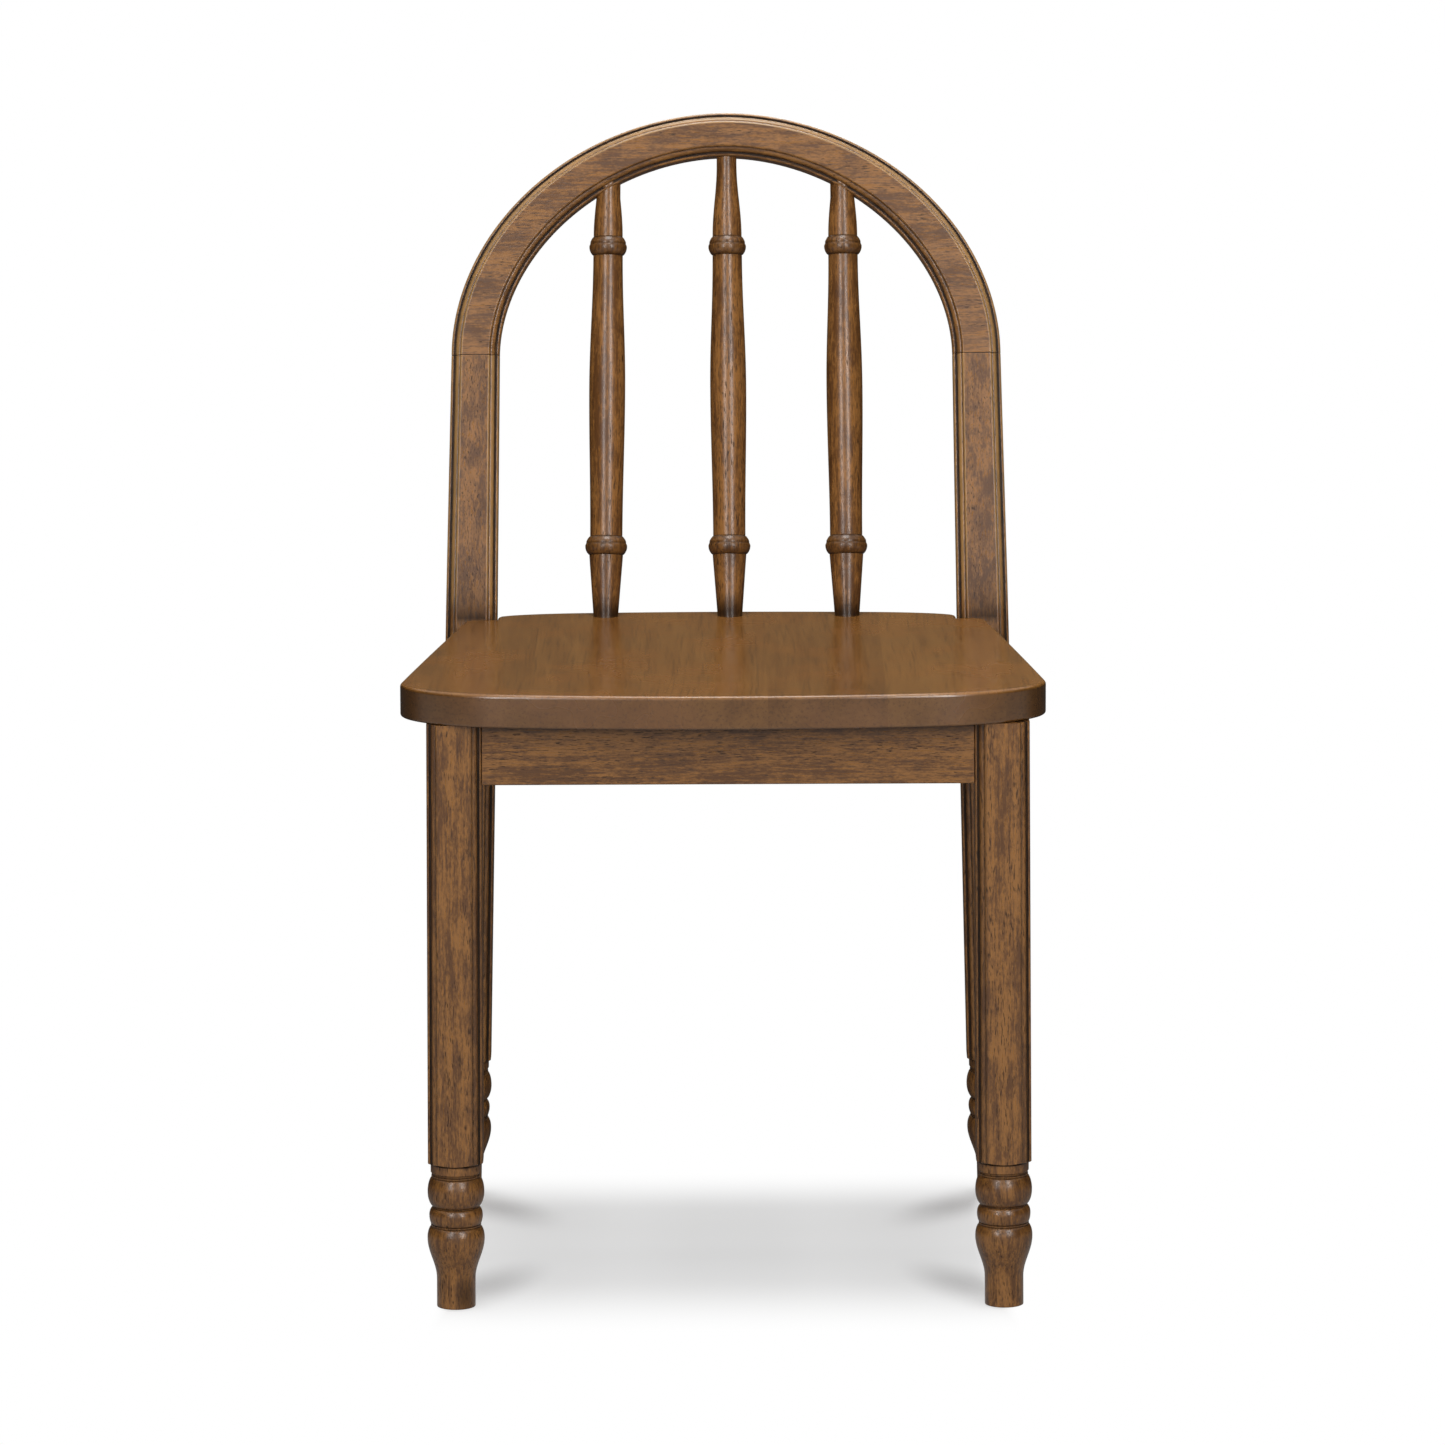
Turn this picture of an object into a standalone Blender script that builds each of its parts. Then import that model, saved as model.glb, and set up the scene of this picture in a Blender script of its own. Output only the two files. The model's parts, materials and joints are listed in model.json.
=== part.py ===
"""Spindle back side chair in stained hardwood.

A solid plank seat on four square legs with moulded corners and turned feet. The back legs run up
past the seat as posts, an arched rail closes them, and three turned spindles stand between the
rail and the seat. Rails, corner blocks, dowels, screws and glides hold it together underneath.

Lengths are metres and angles are degrees. While it is modelled, x runs across the chair, y is the
depth behind the front faces of the front legs, and z is the height above the floor. At the end the
empty that carries every piece is moved, so that the origin lies on the floor under the middle.
"""

import math

import bmesh
import bpy
from mathutils import Matrix, Vector

# Fits and cuts
CLEARANCE = 0.0003          # gap between neighbours
CUT_OVERRUN = 0.004         # how far a cutter runs past the face it opens
MERGE_DISTANCE = 0.000001
SMOOTH_ANGLE = 40.0
TURNED_STEPS = 16           # flats round a turned piece
HARDWARE_STEPS = 8          # flats round a screw, dowel or glide
SECTION_ARC_STEPS = 3       # flats along each corner bead
SECTION_EASE_STEPS = 2      # flats round the edge of each face

# Seat
SEAT_TOP = 0.4705
SEAT_THICKNESS = 0.0250
SEAT_HALF_WIDTH = 0.2435    # where front and side edges would meet
SEAT_FRONT_SKEW = 0.0039    # how far the sides stand to the left at the front
SEAT_REAR_SKEW = 0.0011     # how far the sides stand to the left at the rear
SEAT_SIDE_TAPER = 0.0409    # how much each side comes in towards the rear
SEAT_FRONT_OVERHANG = 0.0260
SEAT_FRONT_BOW = 0.0165     # how far the front edge falls back at its corners
SEAT_SIDE_BOW = 0.0040
SEAT_REAR_BOW = 0.0100
SEAT_TONGUE_REACH = 0.0232  # rear edge behind the bend of the posts
SEAT_FRONT_CORNER_RADIUS = 0.0500
SEAT_REAR_CORNER_RADIUS = 0.0100
SEAT_TONGUE_CORNER_RADIUS = 0.0160
SEAT_TOP_EASE = 0.0035
SEAT_UNDER_EASE = 0.0020
SEAT_BOW_STEPS = 8
SEAT_CORNER_STEPS = 6
SEAT_TOP_EASE_STEPS = 2
SEAT_UNDER_EASE_STEPS = 1

# Moulded corners of legs, posts and arch
MOULDING = 0.0064           # width of the corner moulding on each face
MOULDING_STEP = 0.0024      # height of the step from bead to face
MOULDING_EASE = 0.0016      # rounding of the face's edge

# Legs and posts
LEG_INSET = 0.0410          # centre of a front leg inside the seat's half width
LEG_WIDTH = 0.0410
LEG_SPLAY = 0.38            # outward slope of the front legs, going down
FOOT_TOP = 0.1120           # where the square part ends and the turning starts
POST_SEAT_WIDTH = 0.0402    # at the seat
POST_WIDTH = 0.0376         # at the joint with the arch
POST_THICKNESS = 0.0340     # at the joint with the arch
POST_INSET = 0.0055         # centre of a post inside that of a front leg, at the joint
POST_SPLAY = 1.06           # outward slope of the posts, going down
BACK_LEG_SPLAY = 1.50       # outward slope of the back legs, going down
POST_BEND_DEPTH = 0.3700    # where the lines of back leg and post cross
BACK_LEG_RAKE = 3.84        # backward slope of a back leg, going down
BACK_LEAN = 12.0            # backward slope of the back, going up
BEND_RADIUS = 0.30
BEND_STEPS = 5
POST_RISE = 0.2050          # from the bend up the slope to the joint

# Turned feet
FOOT_BOTTOM = 0.0010        # wood stops here, the glide goes on to the floor
FOOT_COLLAR_DIAMETER = 0.0378
FOOT_COLLAR_LENGTH = 0.0085
FOOT_COLLAR_EASE = 0.0008
FOOT_UPPER_NECK_HEIGHT = 0.1001
FOOT_UPPER_NECK_DIAMETER = 0.0364
FOOT_BALL_DIAMETER = 0.0425
FOOT_MIDDLE_NECK_HEIGHT = 0.0777
FOOT_MIDDLE_NECK_DIAMETER = 0.0348
FOOT_RING_DIAMETER = 0.0401
FOOT_LOWER_NECK_HEIGHT = 0.0642
FOOT_LOWER_NECK_DIAMETER = 0.0373
FOOT_VASE_HEIGHT = 0.0537
FOOT_VASE_DIAMETER = 0.0429
FOOT_TIP_HEIGHT = 0.0225
FOOT_TIP_DIAMETER = 0.0290
BEAD_FULLNESS = 0.7         # 1 gives a shallow bead, 0.5 a half round one
BEAD_STEPS = 5
TAPER_STEPS = 5

# Arch, measured in the leaning plane of the back
ARCH_RISE = 0.1905          # outer edge above the joint
ARCH_WIDTH_AT_TOP = 0.0340
ARCH_OUTER_FULLNESS = 1.94  # 2 is an ellipse, less is slacker at the shoulders
ARCH_INNER_FULLNESS = 1.90
ARCH_STEPS = 24

# Spindles, measured up their own axis from the top of the seat
SPINDLE_SEAT_SHARE = 0.4785  # spacing at the seat, as a share of the posts' spread
SPINDLE_ARCH_SHARE = 0.4673  # spacing at the arch, as a share of the posts' spread
SPINDLE_SEAT_DRIFT = 0.0022  # the middle spindle's foot to the right of the middle
SPINDLE_ARCH_DRIFT = 0.0010  # the middle spindle's top to the right of the middle
SPINDLE_FOOT_DIAMETER = 0.0194
SPINDLE_FOOT_TOP_DIAMETER = 0.0265
SPINDLE_LOWER_BEAD_HEIGHT = 0.0570
SPINDLE_LOWER_BEAD_LENGTH = 0.0160
SPINDLE_LOWER_BEAD_DIAMETER = 0.0330
SPINDLE_SHAFT_BOTTOM_DIAMETER = 0.0254
SPINDLE_BELLY_HEIGHT = 0.1800
SPINDLE_BELLY_DIAMETER = 0.0284
SPINDLE_SHAFT_TOP_DIAMETER = 0.0232
SPINDLE_UPPER_BEAD_HEIGHT = 0.2937
SPINDLE_UPPER_BEAD_LENGTH = 0.0136
SPINDLE_UPPER_BEAD_DIAMETER = 0.0296
SPINDLE_SHOULDER_DIAMETER = 0.0229
SPINDLE_TIP_DIAMETER = 0.0156
SPINDLE_TIP_HEIGHT = 0.3560
SPINDLE_SEAT_TENON = 0.0150
SPINDLE_ARCH_TENON = 0.0130

# Rails under the seat
RAIL_HEIGHT = 0.0460
RAIL_THICKNESS = 0.0180
RAIL_SETBACK = 0.0070       # outer face behind the outer face of the legs
SIDE_RAIL_REAR_INSET = 0.0005  # a side rail's outer face at the back, inside the front leg's centre
RAIL_ARRIS = 0.0010
RAIL_ARRIS_STEPS = 1
TENON_SHOULDER = 0.0055
TENON_LENGTH = 0.0150

# Corner blocks
BLOCK_NEAR_LEG = 0.0380     # along each rail, from where the rails' inner faces cross
BLOCK_REACH = 0.0680
BLOCK_HEIGHT = 0.0300
BLOCK_SCREW_ALONG = 0.0520
BLOCK_SCREW_SEAT = 0.0080   # wood left under the screw head

# Screws
SCREW_HEAD_DIAMETER = 0.0080
SCREW_HEAD_HEIGHT = 0.0026
SCREW_RIM_HEIGHT = 0.0005
SCREW_SHANK_DIAMETER = 0.0040
SCREW_TIP_LENGTH = 0.0040
SCREW_COUNTERBORE = 0.0160
BLOCK_SCREW_LENGTH = 0.0220
SEAT_SCREW_LENGTH = 0.0400
SEAT_SCREW_SINK = 0.0050    # head above the underside of the block

# Dowels between posts and arch
DOWEL_DIAMETER = 0.0080
DOWEL_LENGTH = 0.0400
DOWEL_SPACING = 0.0150
DOWEL_CHAMFER = 0.0010

# Glides under the feet
GLIDE_DIAMETER = 0.0200
GLIDE_THICKNESS = 0.0034
GLIDE_EASE = 0.0006
GLIDE_STEM_DIAMETER = 0.0040
GLIDE_STEM_LENGTH = 0.0140

# Finishes: colour, roughness, metallic
FINISHES = {
    "seat_wood": ((0.170, 0.085, 0.036), 0.32, 0.0),
    "frame_wood": ((0.155, 0.080, 0.038), 0.36, 0.0),
    "plain_wood": ((0.420, 0.300, 0.180), 0.70, 0.0),
    "zinc_screw": ((0.560, 0.550, 0.500), 0.35, 1.0),
    "nylon_glide": ((0.120, 0.080, 0.050), 0.50, 0.0),
}

SEAT_UNDERSIDE = SEAT_TOP - SEAT_THICKNESS
FRAME_TOP = SEAT_UNDERSIDE - CLEARANCE
RAIL_BOTTOM = FRAME_TOP - RAIL_HEIGHT
SEAT_REAR_HALF_WIDTH = SEAT_HALF_WIDTH - SEAT_SIDE_TAPER
LEG_SPREAD = SEAT_HALF_WIDTH - LEG_INSET
POST_SPREAD = LEG_SPREAD - POST_INSET
SIDE_RAIL_REAR_SPREAD = LEG_SPREAD - SIDE_RAIL_REAR_INSET
LEAN = math.radians(BACK_LEAN)
RAKE = math.radians(BACK_LEG_RAKE)
FRONT_SPLAY = math.radians(LEG_SPLAY)
BACK_SPLAY = math.radians(BACK_LEG_SPLAY)
SPLAY = math.radians(POST_SPLAY)
JOINT_HEIGHT = SEAT_TOP + POST_RISE * math.cos(LEAN)
SIDES = ((-1, "left"), (1, "right"))


def clear_scene():
    for old in list(bpy.data.objects):
        bpy.data.objects.remove(old, do_unlink=True)


def make_materials():
    made = {}
    for name, (colour, roughness, metallic) in FINISHES.items():
        material = bpy.data.materials.new(name)
        material.use_nodes = True
        shader = material.node_tree.nodes["Principled BSDF"]
        shader.inputs["Base Color"].default_value = (*colour, 1.0)
        shader.inputs["Roughness"].default_value = roughness
        shader.inputs["Metallic"].default_value = metallic
        made[name] = material
    return made


def make_empty(name, parent=None, location=(0, 0, 0), tilt=0.0):
    """An empty that carries pieces; tilt turns it about the x axis."""
    empty = bpy.data.objects.new(name, None)
    empty.parent = parent
    empty.location = location
    empty.rotation_euler = (tilt, 0, 0)
    bpy.context.collection.objects.link(empty)
    return empty


def mesh_from(bm, name, smooth=True):
    bmesh.ops.remove_doubles(bm, verts=bm.verts[:], dist=MERGE_DISTANCE)
    bmesh.ops.recalc_face_normals(bm, faces=bm.faces[:])
    mesh = bpy.data.meshes.new(name)
    bm.to_mesh(mesh)
    bm.free()
    if smooth:
        mesh.shade_smooth()
        mesh.set_sharp_from_angle(angle=math.radians(SMOOTH_ANGLE))
    return mesh


def add_object(name, mesh, parent, placed):
    made = bpy.data.objects.new(name, mesh)
    made.parent = parent
    if placed is not None:
        made.matrix_local = placed
    bpy.context.collection.objects.link(made)
    return made


def add_piece(name, mesh, parent, material, placed=None):
    """A named piece of the chair, placed in its parent's space by a matrix."""
    if not mesh.materials:
        mesh.materials.append(material)
    return add_object(name, mesh, parent, placed)


def cut(piece, name, mesh, parent, placed=None, operation="DIFFERENCE"):
    """Cuts a shape out of a piece, or joins it on."""
    cutter = add_object(name, mesh, parent, placed)
    cutter.hide_render = True
    cutter.display_type = "WIRE"
    modifier = piece.modifiers.new(name, "BOOLEAN")
    modifier.operation = operation
    modifier.solver = "EXACT"
    modifier.object = cutter


# Shapes


def turned_mesh(name, profile, steps):
    """Spin a profile of (radius, height) points about z; its ends lie on the axis."""
    bm = bmesh.new()
    points = [bm.verts.new((radius, 0, height)) for radius, height in profile]
    edges = [bm.edges.new(pair) for pair in zip(points, points[1:])]
    bmesh.ops.spin(bm, geom=points + edges, cent=(0, 0, 0), axis=(0, 0, 1), dvec=(0, 0, 0),
                   angle=math.tau, steps=steps, use_merge=True, use_duplicate=False)
    return mesh_from(bm, name)


def loft_mesh(name, rings):
    """Bridge each ring of points to the next and close both ends."""
    bm = bmesh.new()
    loops = []
    for ring in rings:
        points = [bm.verts.new(point) for point in ring]
        loops.append([bm.edges.new(pair) for pair in zip(points, points[1:] + points[:1])])
    for lower, upper in zip(loops, loops[1:]):
        bmesh.ops.bridge_loops(bm, edges=lower + upper)
    bmesh.ops.holes_fill(bm, edges=loops[0] + loops[-1], sides=0)
    return mesh_from(bm, name)


def prism_bmesh(outline, bottom, top):
    """An outline in plan, filled and extruded upwards."""
    bm = bmesh.new()
    face = bm.faces.new([bm.verts.new((x, y, bottom)) for x, y in outline])
    grown = bmesh.ops.extrude_face_region(bm, geom=[face])["geom"]
    raised = [part for part in grown if isinstance(part, bmesh.types.BMVert)]
    bmesh.ops.translate(bm, verts=raised, vec=(0, 0, top - bottom))
    bmesh.ops.recalc_face_normals(bm, faces=bm.faces[:])
    return bm


def box_bmesh(low, high):
    bm = bmesh.new()
    bmesh.ops.create_cube(bm, size=1)
    size = Matrix.Diagonal([b - a for a, b in zip(low, high)]).to_4x4()
    middle = Matrix.Translation([(a + b) / 2 for a, b in zip(low, high)])
    bmesh.ops.transform(bm, matrix=middle @ size, verts=bm.verts[:])
    return bm


def fillet(before, corner, after, radius, steps):
    """Points of the arc that rounds a corner between two straight sides."""
    inward = (before - corner).normalized()
    outward = (after - corner).normalized()
    half = inward.angle(outward) / 2
    centre = corner + (inward + outward).normalized() * radius / math.sin(half)
    reach = radius / math.tan(half)
    first = corner + inward * reach - centre
    last = corner + outward * reach - centre
    start = math.atan2(first.y, first.x)
    sweep = math.remainder(math.atan2(last.y, last.x) - start, math.tau)
    angles = [start + sweep * i / steps for i in range(steps + 1)]
    return [centre + radius * Vector((math.cos(a), math.sin(a))) for a in angles]


def bowed(start, end, bow, steps):
    """Points of a shallow curve that stands off its chord by bow, to the right of its run."""
    run = end - start
    aside = Vector((run.y, -run.x)).normalized() * bow
    shares = [i / steps for i in range(steps + 1)]
    return [start + run * share + aside * (1 - (2 * share - 1) ** 2) for share in shares]


def bead(low_height, low_diameter, high_height, high_diameter, widest):
    """Profile of a rounded bead between two necks, without its end points."""
    points = []
    for i in range(1, BEAD_STEPS):
        share = i / BEAD_STEPS
        neck = low_diameter + (high_diameter - low_diameter) * share
        swell = (1 - (2 * share - 1) ** 2) ** BEAD_FULLNESS
        height = low_height + (high_height - low_height) * share
        points.append(((neck + (widest - neck) * swell) / 2, height))
    return points


def double_curve(low_height, low_diameter, high_height, high_diameter):
    """Profile of a double curve from one diameter to another, with its end points."""
    points = []
    for i in range(TAPER_STEPS + 1):
        ease = (1 - math.cos(math.pi * i / TAPER_STEPS)) / 2
        diameter = low_diameter + (high_diameter - low_diameter) * ease
        height = low_height + (high_height - low_height) * i / TAPER_STEPS
        points.append((diameter / 2, height))
    return points


# Moulded section


def arc_points(centre, radius, steps):
    """A quarter circle from the x side round to the y side."""
    angles = [math.pi / 2 * i / steps for i in range(steps + 1)]
    return [centre + radius * Vector((math.cos(a), math.sin(a))) for a in angles]


def corner_moulding(half_width, half_thickness):
    """One corner of the section, from the side face round to the top face."""
    inset = MOULDING + MOULDING_EASE
    side_edge = Vector((half_width - MOULDING_EASE, half_thickness - inset))
    top_edge = Vector((half_width - inset, half_thickness - MOULDING_EASE))
    middle = Vector((half_width - MOULDING, half_thickness - MOULDING))
    points = arc_points(side_edge, MOULDING_EASE, SECTION_EASE_STEPS)
    points += arc_points(middle, MOULDING - MOULDING_STEP, SECTION_ARC_STEPS)
    return points + arc_points(top_edge, MOULDING_EASE, SECTION_EASE_STEPS)


def moulded_section(width, thickness):
    """Square section whose four corners carry a bead set back behind a step."""
    corner = corner_moulding(width / 2, thickness / 2)
    next_corner = corner_moulding(thickness / 2, width / 2)
    section = list(corner)
    section += [Vector((-point.y, point.x)) for point in next_corner]
    section += [-point for point in corner]
    section += [Vector((point.y, -point.x)) for point in next_corner]
    return section


# Lines of the legs and posts


def front_spread(height):
    """Centre of a front leg from the middle of the chair, at a height."""
    return LEG_SPREAD + (FRAME_TOP - height) * math.tan(FRONT_SPLAY)


def back_line():
    """Stations of the back leg's middle line, as (depth, height, slope), from the foot up."""
    reach = BEND_RADIUS * math.tan((RAKE + LEAN) / 2)
    start_depth = POST_BEND_DEPTH + reach * math.sin(RAKE)
    start_height = SEAT_TOP - reach * math.cos(RAKE)
    centre_depth = start_depth + BEND_RADIUS * math.cos(RAKE)
    centre_height = start_height + BEND_RADIUS * math.sin(RAKE)
    foot_depth = POST_BEND_DEPTH + (SEAT_TOP - FOOT_TOP) * math.tan(RAKE)
    stations = [(foot_depth, FOOT_TOP, -RAKE)]
    for i in range(BEND_STEPS + 1):
        slope = (RAKE + LEAN) * i / BEND_STEPS - RAKE
        depth = centre_depth - BEND_RADIUS * math.cos(slope)
        height = centre_height + BEND_RADIUS * math.sin(slope)
        stations.append((depth, height, slope))
    joint_depth = POST_BEND_DEPTH + POST_RISE * math.sin(LEAN)
    stations.append((joint_depth, JOINT_HEIGHT, LEAN))
    return stations


def back_width(height):
    """Width of back leg and post, which tapers faster above the seat."""
    if height < SEAT_TOP:
        share = (height - FOOT_TOP) / (SEAT_TOP - FOOT_TOP)
        return LEG_WIDTH + (POST_SEAT_WIDTH - LEG_WIDTH) * share
    share = (height - SEAT_TOP) / (JOINT_HEIGHT - SEAT_TOP)
    return POST_SEAT_WIDTH + (POST_WIDTH - POST_SEAT_WIDTH) * share


def back_thickness(height):
    share = (height - FOOT_TOP) / (JOINT_HEIGHT - FOOT_TOP)
    return LEG_WIDTH + (POST_THICKNESS - LEG_WIDTH) * share


def back_spread(height):
    """Centre of back leg and post from the middle of the chair, at a height."""
    above = JOINT_HEIGHT - max(height, SEAT_TOP)
    below = SEAT_TOP - min(height, SEAT_TOP)
    return POST_SPREAD + above * math.tan(SPLAY) + below * math.tan(BACK_SPLAY)


def back_inner_face(height):
    return back_spread(height) - back_width(height) / 2


def back_face_depth(height, towards):
    """Depth of the front (-1) or back (+1) face of back leg and post at a height."""
    edges = []
    for depth, station, slope in back_line():
        half = towards * back_thickness(station) / 2
        edges.append((depth + half * math.cos(slope), station - half * math.sin(slope)))
    for (depth_a, height_a), (depth_b, height_b) in zip(edges, edges[1:]):
        if height <= height_b:
            break
    share = (height - height_a) / (height_b - height_a)
    return depth_a + (depth_b - depth_a) * share


# Turned feet


def foot_profile():
    """Profile of a turned foot, from under the floor up to inside the square leg."""
    tip = FOOT_TIP_DIAMETER / 2
    collar = FOOT_COLLAR_DIAMETER / 2
    collar_bottom = FOOT_TOP - FOOT_COLLAR_LENGTH
    points = [(0, -CUT_OVERRUN), (tip, -CUT_OVERRUN)]
    points += double_curve(FOOT_TIP_HEIGHT, FOOT_TIP_DIAMETER, FOOT_VASE_HEIGHT, FOOT_VASE_DIAMETER)
    whole_vase = bead(2 * FOOT_VASE_HEIGHT - FOOT_LOWER_NECK_HEIGHT, FOOT_LOWER_NECK_DIAMETER,
                      FOOT_LOWER_NECK_HEIGHT, FOOT_LOWER_NECK_DIAMETER, FOOT_VASE_DIAMETER)
    points += [point for point in whole_vase if point[1] > FOOT_VASE_HEIGHT]
    points.append((FOOT_LOWER_NECK_DIAMETER / 2, FOOT_LOWER_NECK_HEIGHT))
    points += bead(FOOT_LOWER_NECK_HEIGHT, FOOT_LOWER_NECK_DIAMETER, FOOT_MIDDLE_NECK_HEIGHT,
                   FOOT_MIDDLE_NECK_DIAMETER, FOOT_RING_DIAMETER)
    points.append((FOOT_MIDDLE_NECK_DIAMETER / 2, FOOT_MIDDLE_NECK_HEIGHT))
    points += bead(FOOT_MIDDLE_NECK_HEIGHT, FOOT_MIDDLE_NECK_DIAMETER, FOOT_UPPER_NECK_HEIGHT,
                   FOOT_UPPER_NECK_DIAMETER, FOOT_BALL_DIAMETER)
    points.append((FOOT_UPPER_NECK_DIAMETER / 2, FOOT_UPPER_NECK_HEIGHT))
    points.append((collar - FOOT_COLLAR_EASE, collar_bottom))
    points.append((collar, collar_bottom + FOOT_COLLAR_EASE))
    points.append((collar, FOOT_TOP + CUT_OVERRUN))
    points.append((0, FOOT_TOP + CUT_OVERRUN))
    return points


def glide_profile(gap):
    """A nylon disc with a stem; with a gap it is the hole that takes one."""
    disc = GLIDE_DIAMETER / 2 + gap
    stem = GLIDE_STEM_DIAMETER / 2 + gap
    top = GLIDE_THICKNESS + gap
    tip = GLIDE_THICKNESS + GLIDE_STEM_LENGTH + gap
    mouth = [(0, 0), (disc - GLIDE_EASE, 0), (disc, GLIDE_EASE)]
    if gap:
        mouth = [(0, -CUT_OVERRUN), (disc, -CUT_OVERRUN)]
    return mouth + [(disc, top), (stem, top), (stem, tip), (0, tip)]


def add_foot(leg, parent, x, depth, rake, splay):
    """Joins the turned foot to a leg, cuts it level and drills the seat of its glide."""
    pivot = Matrix.Translation((0, 0, FOOT_TOP))
    tilt = Matrix.Rotation(splay, 4, "Y") @ Matrix.Rotation(rake, 4, "X")
    placed = Matrix.Translation((x, depth, 0)) @ pivot @ tilt @ pivot.inverted()
    turning = turned_mesh(leg.name + "_turning", foot_profile(), TURNED_STEPS)
    cut(leg, leg.name + "_turning", turning, parent, placed, "UNION")
    floor = placed @ Vector((0, 0, 0))
    low = (floor.x - LEG_WIDTH, floor.y - LEG_WIDTH, -LEG_WIDTH)
    high = (floor.x + LEG_WIDTH, floor.y + LEG_WIDTH, FOOT_BOTTOM)
    cut(leg, leg.name + "_floor", mesh_from(box_bmesh(low, high), "floor", False), parent)
    spot = Matrix.Translation((floor.x, floor.y, 0))
    hole = turned_mesh(leg.name + "_glide_hole", glide_profile(CLEARANCE), HARDWARE_STEPS)
    cut(leg, leg.name + "_glide_hole", hole, parent, spot)
    return spot


# Legs


def add_front_leg(name, side, parent, finishes):
    """Square moulded leg with a turned foot; side is -1 for left, +1 for right."""
    middle = LEG_WIDTH / 2
    section = moulded_section(LEG_WIDTH, LEG_WIDTH)
    rings = [[(side * front_spread(height) + point.x, middle + point.y, height) for point in section]
             for height in (FOOT_TOP, FRAME_TOP)]
    leg = add_piece(name, loft_mesh(name, rings), parent, finishes["frame_wood"])
    return leg, add_foot(leg, parent, side * front_spread(FOOT_TOP), middle, 0, -side * FRONT_SPLAY)


def add_back_leg(name, side, parent, finishes):
    """Leg and post in one piece, bent at the seat, up to the joint with the arch."""
    rings = []
    for depth, height, slope in back_line():
        ring = []
        for point in moulded_section(back_width(height), back_thickness(height)):
            ring.append((side * back_spread(height) + point.x,
                         depth + point.y * math.cos(slope),
                         height - point.y * math.sin(slope)))
        rings.append(ring)
    leg = add_piece(name, loft_mesh(name, rings), parent, finishes["frame_wood"])
    foot_depth = back_line()[0][0]
    return leg, add_foot(leg, parent, side * back_spread(FOOT_TOP), foot_depth, RAKE, -side * BACK_SPLAY)


def add_glide(name, spot, parent, finishes):
    mesh = turned_mesh(name, glide_profile(0), HARDWARE_STEPS)
    return add_piece(name, mesh, parent, finishes["nylon_glide"], spot)


# Arch


def arch_edge(angle, half, rise, fullness):
    """A point on one edge of the arch, by its angle above the joint."""
    power = 2 / fullness
    across = math.copysign(abs(math.cos(angle)) ** power, math.cos(angle))
    return Vector((half * across, rise * abs(math.sin(angle)) ** power))


def arch_outer(angle):
    half = POST_SPREAD + POST_WIDTH / 2
    return arch_edge(angle, half, ARCH_RISE, ARCH_OUTER_FULLNESS)


def arch_inner(angle):
    half = POST_SPREAD - POST_WIDTH / 2
    return arch_edge(angle, half, ARCH_RISE - ARCH_WIDTH_AT_TOP, ARCH_INNER_FULLNESS)


def arch_inner_rise(x):
    """Rise of the arch's inner edge above the joint, up the slope, at x."""
    half = POST_SPREAD - POST_WIDTH / 2
    rise = ARCH_RISE - ARCH_WIDTH_AT_TOP
    return rise * (1 - (abs(x) / half) ** ARCH_INNER_FULLNESS) ** (1 / ARCH_INNER_FULLNESS)


def add_arch(name, back, finishes):
    """The moulded rail that bends over from post to post, in the plane of the back."""
    rings = []
    for i in range(ARCH_STEPS + 1):
        angle = math.pi * i / ARCH_STEPS
        outer, inner = arch_outer(angle), arch_inner(angle)
        across = outer - inner
        middle = (outer + inner) / 2
        ring = []
        for point in moulded_section(across.length, POST_THICKNESS):
            spot = middle + across.normalized() * point.x
            ring.append((spot.x, point.y, POST_RISE + CLEARANCE + spot.y))
        rings.append(ring)
    return add_piece(name, loft_mesh(name, rings), back, finishes["frame_wood"])


def dowel_profile(gap):
    radius = DOWEL_DIAMETER / 2 + gap
    half = DOWEL_LENGTH / 2 + gap
    return [(0, -half), (radius - DOWEL_CHAMFER, -half), (radius, DOWEL_CHAMFER - half),
            (radius, half - DOWEL_CHAMFER), (radius - DOWEL_CHAMFER, half), (0, half)]


def add_dowels(arch, posts, back, finishes):
    """Two dowels hold the arch on each post."""
    for side, word in SIDES:
        for place, label in ((-1, "inner"), (1, "outer")):
            name = f"arch_dowel_{word}_{label}"
            x = side * (POST_SPREAD + place * DOWEL_SPACING / 2)
            spot = Matrix.Translation((x, 0, POST_RISE))
            mesh = turned_mesh(name, dowel_profile(0), HARDWARE_STEPS)
            add_piece(name, mesh, back, finishes["plain_wood"], spot)
            for target in (arch, posts[side]):
                hole = turned_mesh(name, dowel_profile(CLEARANCE), HARDWARE_STEPS)
                cut(target, f"{name}_in_{target.name}", hole, back, spot)


# Spindles


def spindle_taper(height):
    """Diameter of a spindle's upper taper at a height above the seat."""
    start = SPINDLE_UPPER_BEAD_HEIGHT + SPINDLE_UPPER_BEAD_LENGTH / 2
    share = min((height - start) / (SPINDLE_TIP_HEIGHT - start), 1)
    ease = (1 - math.cos(math.pi * share)) / 2
    return SPINDLE_SHOULDER_DIAMETER + (SPINDLE_TIP_DIAMETER - SPINDLE_SHOULDER_DIAMETER) * ease


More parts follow.
